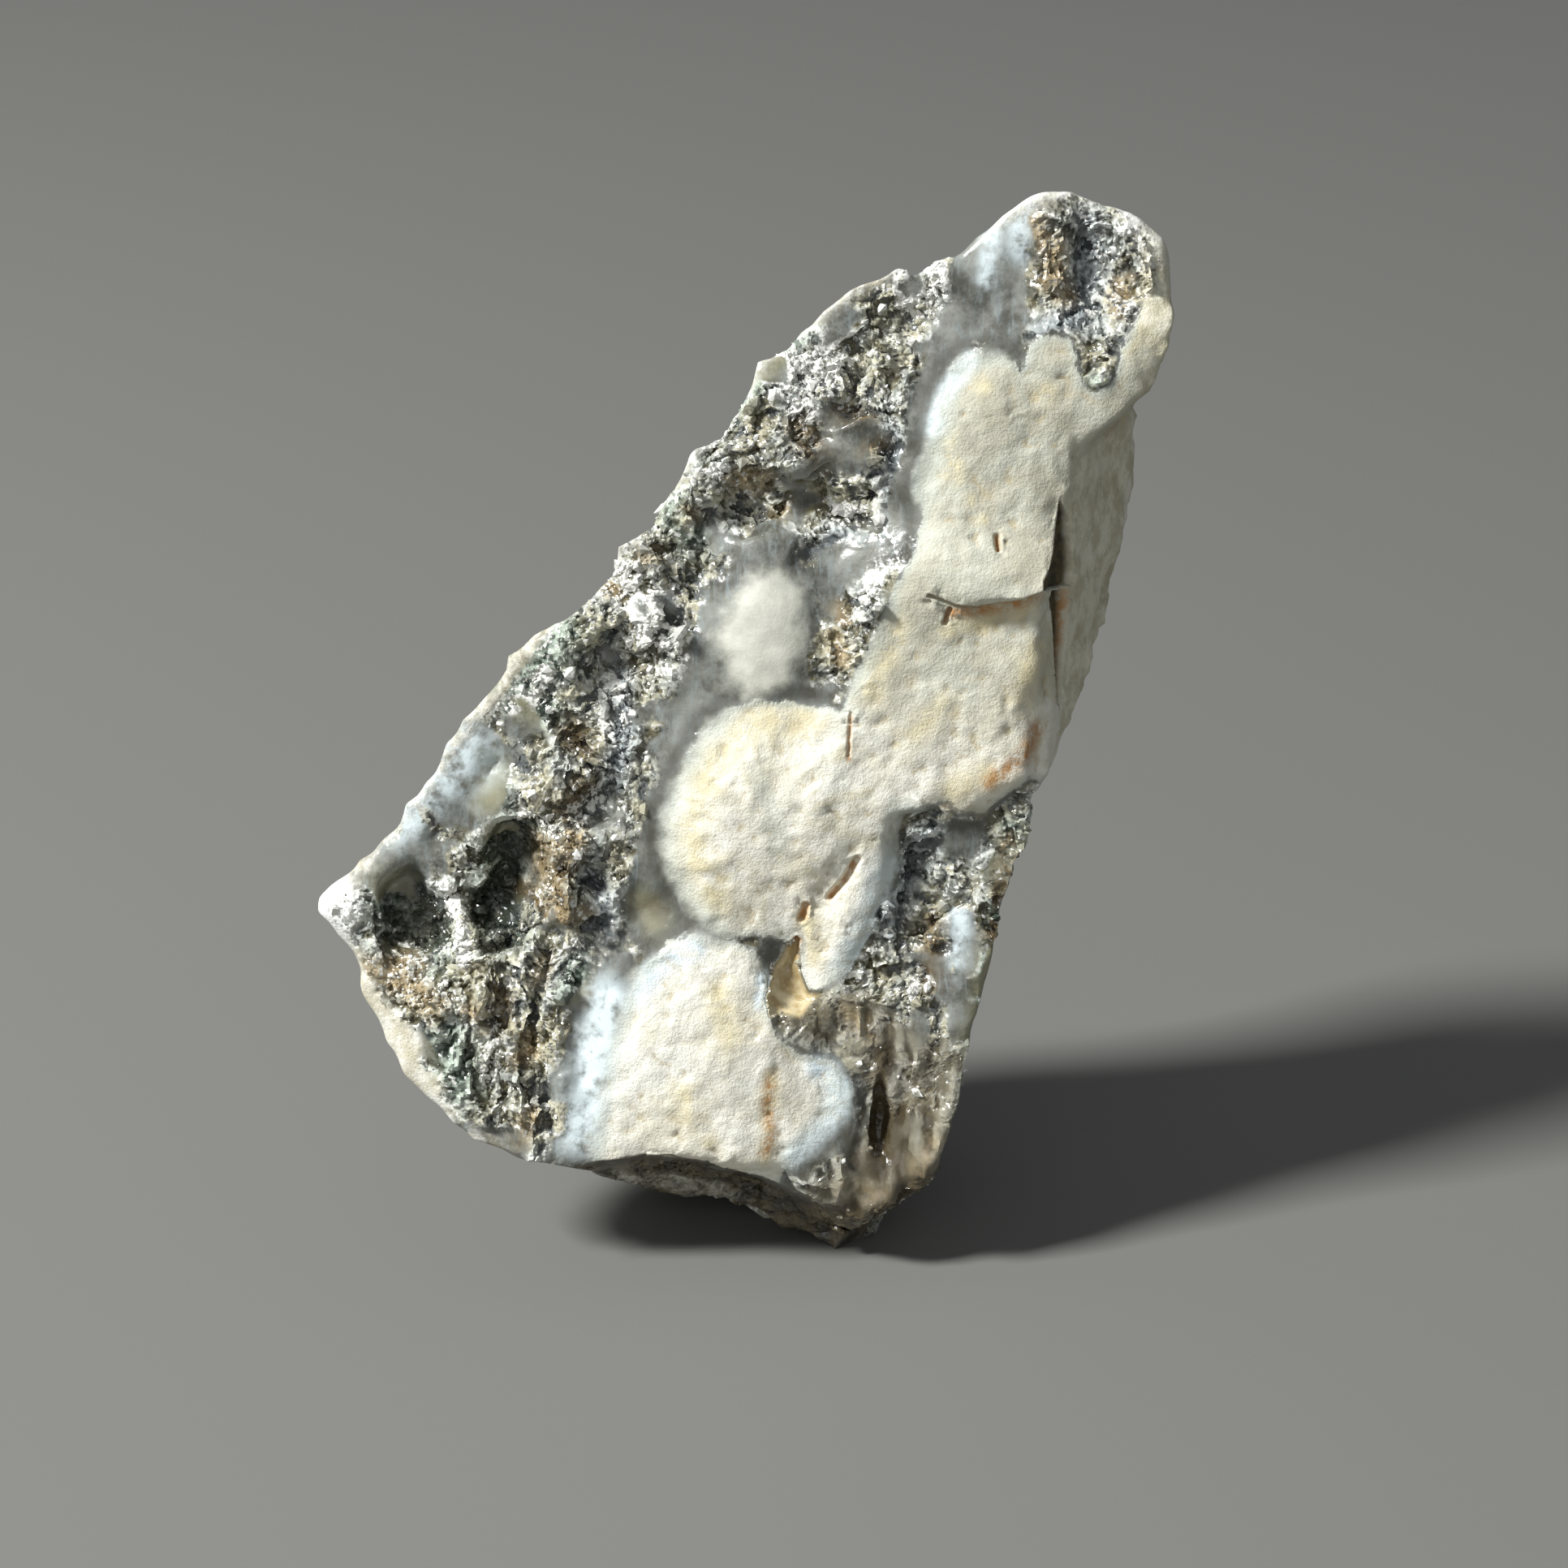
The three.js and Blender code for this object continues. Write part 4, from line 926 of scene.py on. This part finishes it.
tiny_facets, s, given, out = new_group(
    "tiny_facets",
    [("Spot", VECTOR), ("Normal", VECTOR), ("Size", FLOAT), ("Tilt", FLOAT)],
    [("Normal", VECTOR), ("Luck", FLOAT)],
)
fineness = s.sum("DIVIDE", 1.0, given["Size"])
cell = s.node("ShaderNodeTexVoronoi", {"Vector": given["Spot"], "Scale": fineness}).outputs["Color"]
lean = s.vector("SUBTRACT", cell, (0.5, 0.5, 0.5))
lean = s.node("ShaderNodeVectorMath", {0: lean, "Scale": given["Tilt"]}, operation="SCALE").outputs[0]
leaning = s.vector("NORMALIZE", s.vector("ADD", given["Normal"], lean))
s.tree.links.new(leaning, out["Normal"])
s.tree.links.new(s.node("ShaderNodeSeparateColor", {"Color": cell}).outputs["Red"], out["Luck"])
print("node groups:", wandering_edge.name, druse_colour.name, tiny_facets.name)

# %% [markdown]
# The stone's colour is laid down in the order the minerals formed: first the grey chalcedony
# and its bands, then milky parts and cream jasper, then the druse, the stains and the worn, pale rim.
# Painted shade goes under the lip and into the ledges, and the rim is partly a painted highlight.

# %% The stone material: chalcedony and cream jasper
stone_material = bpy.data.materials.new("ocean_jasper_stone")
stone_material.use_nodes = True
tree = stone_material.node_tree
shader = tree.nodes["Principled BSDF"]
s = Shading(tree)
spot = s.attribute("spot", "Vector")
NAMES = KINDS + ("cream", "dome", "rays", "rough", "glassy", "rim", "yellow", "milk", "seep", "soft",
                 "tip", "side", "below", "under_white", "lip", "recess", "ledge", "pale")
at = {name: s.attribute(name) for name in NAMES}


def edge(inside, wander, size, softness):
    inputs = {"Spot": spot, "Inside": inside, "Wander": wander, "Size": size, "Softness": softness}
    return s.group(wandering_edge, inputs).outputs["Mask"]


def broken_up(amount, size, seed, share):
    """A region's amount, broken up by noise."""
    return s.times(amount, s.fade(s.noise(spot, size, 5, 0.65, seed=seed), 0.3, 0.6, 0.0, share))


fibres = s.noise(s.vector("MULTIPLY", spot, (2.0, 0.55, 1.3)), 0.9, 5, 0.68, warp=1.2, seed=2.0)
near_cream = s.times(s.fade(at["cream"], -1.1, -0.6), s.fade(at["cream"], 0.1, -0.4))
dome_tone = s.mottled(spot, 1.4, 14.0, (194, 195, 182), (222, 222, 208), 0.3, 0.7)
grey = s.mottled(spot, 1.4, 1.0, (84, 84, 76), (136, 138, 130), 0.36, 0.62)
colour = s.layers(grey, [
    (s.fade(fibres, 0.46, 0.7, 0.0, 0.6), (146, 157, 158)),
    (s.times(at["green"], 0.8), (142, 139, 108)),
    # painted shade: the grey is darker in small dips
    (s.fade(at["dip"], 0.1, 0.9, 0.0, 0.5), (62, 60, 50)),
    (s.times(near_cream, 0.65), (70, 69, 60)),
    (broken_up(at["milk"], 0.9, 13.0, 1.2), (216, 229, 231)),
    (edge(at["dome"], 0.9, 1.2, 0.55), dome_tone),
])

place = s.node("ShaderNodeSeparateXYZ", {0: spot}).outputs
# the cream is painted darker and greyer towards the top, partly its own tone and partly painted shade
upper_part = s.fade(place["Y"], 20.0, 27.0)
behind = s.fade(place["Z"], 1.5, 4.0)
cream_tone = s.patches(spot, 3.0, 3.0, 0.36, 0.64)
upper_cream = s.mix(cream_tone, srgb(176, 173, 153), srgb(195, 196, 179))
halo = s.fade(at["cream"], s.fade(at["soft"], 0.0, 1.0, 0.4, 1.5), 0.0)
wavy = s.sum("SUBTRACT", s.noise(spot, 4.0, 4, 0.6, seed=29.0), 0.5)
hairline = s.fade(s.sum("ABSOLUTE", wavy), 0.014, 0.0)
cream = s.layers(s.mix(cream_tone, srgb(226, 222, 203), srgb(243, 242, 230)), [
    (s.times(upper_part, 0.85), upper_cream),
    (s.times(s.patches(spot, 0.4, 4.0, 0.46, 0.72), 0.45), (194, 187, 162)),
    # dirt and painted shade: the cream is darker in small dips
    (s.fade(at["dip"], 0.15, 0.95, 0.0, 0.55), (186, 170, 132)),
    (broken_up(at["yellow"], 0.8, 7.0, 0.8), (224, 212, 170)),
    (s.fade(at["rays"], 0.0, 0.9, 0.0, 0.5), (190, 182, 146)),
    (broken_up(at["milk"], 0.9, 13.0, 1.1), (226, 240, 245)),
    (broken_up(at["cool"], 0.6, 17.0, 0.6), (170, 174, 162)),
    (s.times(halo, 0.6), (186, 194, 184)),
    (s.times(s.times(hairline, behind), 0.7), (150, 130, 92)),
])
cream_edge = edge(at["cream"], 0.45, 0.8, s.fade(at["soft"], 0.0, 1.0, 0.12, 0.5))
colour = s.mix(cream_edge, colour, cream)
print("tones so far:", len(tree.nodes), "nodes")

# %% [markdown]
# Over the two smooth minerals come the rough ones. Each tiny facet of the druse has its own
# colour and its own tilt, so a few of them flash in the light and their neighbours stay dark.

# %% The stone material: druse, stains and rim
upright = s.node("ShaderNodeNewGeometry").outputs["Normal"]
clump = s.fade(s.noise(spot, 0.9, 3, seed=15.0), 0.38, 0.62, 0.4, 1.0)
less_where_glassy = s.fade(at["glassy"], 0.0, 1.0, 1.0, 0.25)
large_tilt = s.times(s.times(at["rough"], 0.7), less_where_glassy)
large_facet = s.group(tiny_facets, {"Spot": spot, "Normal": upright, "Size": 0.42, "Tilt": large_tilt})
small_tilt = s.times(s.times(at["rough"], clump), s.times(less_where_glassy, 1.3))
facet = s.group(tiny_facets, {
    "Spot": spot, "Normal": large_facet.outputs["Normal"], "Size": 0.14, "Tilt": small_tilt,
})
druse_inputs = {"Spot": spot, "Luck": facet.outputs["Luck"]}
druse_inputs.update({kind.capitalize(): at[kind] for kind in KINDS})
druse = s.group(druse_colour, druse_inputs).outputs["Colour"]
rough_edge = s.fade(s.sum("ADD", at["rough"], s.noise(spot, 0.6, 5, 0.7)), 0.72, 1.0)
# painted shade and painted light: glassy quartz is dark in dips and pale on crests
glassy_tone = s.mix(s.fade(at["dip"], -0.5, 0.6), srgb(150, 146, 128), srgb(64, 56, 40))
glassy_tone = s.mix(s.patches(spot, 1.6, 16.0, 0.42, 0.62), glassy_tone, srgb(104, 96, 76))
not_cream = s.sum("SUBTRACT", 1.0, cream_edge)
crusted = s.times(s.fade(place["Y"], 15.5, 18.0), s.fade(place["Y"], 32.0, 28.0))
rim_tone = s.mottled(spot, 1.6, 11.0, (190, 184, 162), (232, 233, 226))
crust_tone = s.mottled(spot, 0.7, 28.0, (150, 146, 128), (226, 222, 206))
colour = s.layers(colour, [
    (rough_edge, druse),
    (s.times(s.times(at["glassy"], 0.85), not_cream), glassy_tone),
    # brown stains, in places painted shade beside knobs and in holes
    (broken_up(at["brown"], 0.7, 19.0, 0.6), (98, 84, 58)),
    (s.times(s.times(at["brown"], at["glassy"]), 0.8), (58, 49, 31)),
    (broken_up(at["rust"], 0.7, 9.0, 0.4), (174, 156, 120)),
    (broken_up(at["seep"], 0.4, 5.0, 0.95), (178, 126, 64)),
    (s.times(at["recess"], 0.9), s.mottled(spot, 0.9, 21.0, (180, 156, 106), (216, 202, 162))),
    # painted shade: the recessed ledges are dark olive
    (at["ledge"], s.mottled(spot, 0.7, 22.0, (50, 42, 22), (92, 80, 50))),
    (s.times(at["side"], 0.8), s.mottled(spot, 1.2, 23.0, (196, 190, 160), (236, 232, 212))),
    # painted shade: the underside under the lip is dark brown
    (s.times(at["below"], 0.95), s.mottled(spot, 1.1, 24.0, (46, 39, 28), (92, 82, 60))),
    (broken_up(at["under_white"], 0.8, 25.0, 0.9), (206, 202, 186)),
    # painted shade: a darker line just under the lip's edge
    (s.times(at["lip"], 0.8), (60, 52, 36)),
    (s.times(at["pale"], 0.95), s.mottled(spot, 1.0, 26.0, (206, 200, 176), (234, 232, 218))),
    # pale rim on the lit upper-left edge: partly a crust, partly a painted highlight
    (broken_up(at["rim"], 0.8, 6.0, 0.95), s.mix(s.times(crusted, 0.85), rim_tone, crust_tone)),
    (s.times(at["tip"], 0.95), (246, 247, 242)),
])
print("with druse, stains and rim:", len(tree.nodes), "nodes")

# %% [markdown]
# Cream jasper is dull like unglazed pottery, chalcedony is waxy and quartz shines. The finest
# grain is a bump, because it is far smaller than any triangle here.

# %% The stone material: surface
dull = s.sum("MAXIMUM", cream_edge, s.sum("MAXIMUM", at["rim"], at["pale"]))
grainy = s.noise(spot, 0.12, 4, 0.65)
plaster = s.noise(spot, 0.5, 5, 0.66, seed=12.0)
bump_height = s.sum("ADD", s.times(grainy, 0.4), s.times(plaster, 0.6))
bump = s.node("ShaderNodeBump", {
    "Strength": 0.9, "Distance": 0.00014, "Height": s.times(bump_height, s.fade(dull, 0.0, 1.0, 0.25, 1.0)),
    "Normal": facet.outputs["Normal"],
})
gloss = s.fade(dull, 0.0, 1.0, 0.28, 0.62)
gloss = s.sum("SUBTRACT", gloss, s.times(at["rough"], 0.16))
waxy = s.times(s.sum("SUBTRACT", 1.0, dull), s.sum("SUBTRACT", 1.0, at["rough"]))
links = {"Base Color": colour, "Roughness": gloss, "Normal": bump.outputs["Normal"]}
links["Coat Weight"] = s.times(waxy, 0.8)
for label, output in links.items():
    tree.links.new(output, shader.inputs[label])
shader.inputs["Coat Roughness"].default_value = 0.1
stone.data.materials.append(stone_material)
print("stone material nodes:", len(tree.nodes))

# %% [markdown]
# Quartz grains are clear to milky, and iron tints a few of them. Each crystal has its own lucky
# number, so whole crystals take one colour, as real ones do.

# %% The druse material
druse_material = bpy.data.materials.new("ocean_jasper_druse")
druse_material.use_nodes = True
tree = druse_material.node_tree
shader = tree.nodes["Principled BSDF"]
s = Shading(tree)
spot = s.attribute("spot", "Vector")
druse_inputs = {"Spot": spot, "Luck": s.attribute("luck")}
druse_inputs.update({kind.capitalize(): s.attribute(kind) for kind in KINDS})
# the druse colour group paints shade low on each crystal and light near its tip
tree.links.new(s.group(druse_colour, druse_inputs).outputs["Colour"], shader.inputs["Base Color"])
upright = s.node("ShaderNodeNewGeometry").outputs["Normal"]
facet = s.group(tiny_facets, {"Spot": spot, "Normal": upright, "Size": 0.12, "Tilt": 0.25})
tree.links.new(facet.outputs["Normal"], shader.inputs["Normal"])
shader.inputs["Roughness"].default_value = 0.1
shader.inputs["IOR"].default_value = 1.544
shader.inputs["Transmission Weight"].default_value = 0.25
for piece in druse_pieces:
    piece.data.materials.append(druse_material)
print("druse material nodes:", len(tree.nodes))

# %% [markdown]
# ## Floor, light and camera
# The stone stands on a plain pale floor. One fairly small light makes the glints and the sharp
# shadow under the lip, and the pale world fills the shadows.

# %% Floor
FLOOR_SIZE = 4  # in m
bpy.ops.mesh.primitive_plane_add(size=FLOOR_SIZE)
floor = bpy.context.object
floor.name = "floor"
floor_material = bpy.data.materials.new("plain_floor")
floor_material.use_nodes = True
shader = floor_material.node_tree.nodes["Principled BSDF"]
shader.inputs["Base Color"].default_value = srgb(110, 110, 106)
shader.inputs["Roughness"].default_value = 0.8
floor.data.materials.append(floor_material)
print("floor:", floor.dimensions.x, "m wide")


# %% Lights
LAMPS = [  # name, place and size in m, power in W
    ("key", (-0.41, -0.17, 0.47), 0.12, 7.5),
    ("fill", (-0.2, -0.7, 0.3), 0.5, 0.7),
]
AIM = (0, 0, 0.02)
SKY = 0.3  # how bright the pale world is


def area_light(name, place, size, power):
    data = bpy.data.lights.new(name, "AREA")
    data.size = size
    data.energy = power
    lamp = bpy.data.objects.new(name, data)
    bpy.context.scene.collection.objects.link(lamp)
    lamp.location = place
    direction = Vector(AIM) - lamp.location
    lamp.rotation_euler = direction.to_track_quat("-Z", "Y").to_euler()
    return lamp


lamps = [area_light(*row) for row in LAMPS]
scene = bpy.context.scene
scene.view_settings.view_transform = "Standard"
world = bpy.data.worlds.new("studio")
scene.world = world
world.use_nodes = True
world.node_tree.nodes["Background"].inputs["Color"].default_value = srgb(214, 218, 222)
world.node_tree.nodes["Background"].inputs["Strength"].default_value = SKY
print("lights:", {lamp.name: round(lamp.data.energy, 1) for lamp in lamps}, "W")

# %% Camera
CAMERA_PLACE = (-0.00096, -0.190654, 0.096604)
LOOK_DOWN = math.radians(22)
LENS = 106.5
SENSOR = 36
camera_data = bpy.data.cameras.new("camera")
camera_data.lens = LENS
camera_data.sensor_width = SENSOR
camera_data.clip_start = 0.01
camera = bpy.data.objects.new("camera", camera_data)
bpy.context.scene.collection.objects.link(camera)
camera.location = CAMERA_PLACE
camera.rotation_euler = (math.pi / 2 - LOOK_DOWN, 0, 0)
bpy.context.scene.camera = camera
print("camera looks down by", round(math.degrees(LOOK_DOWN)), "degrees")
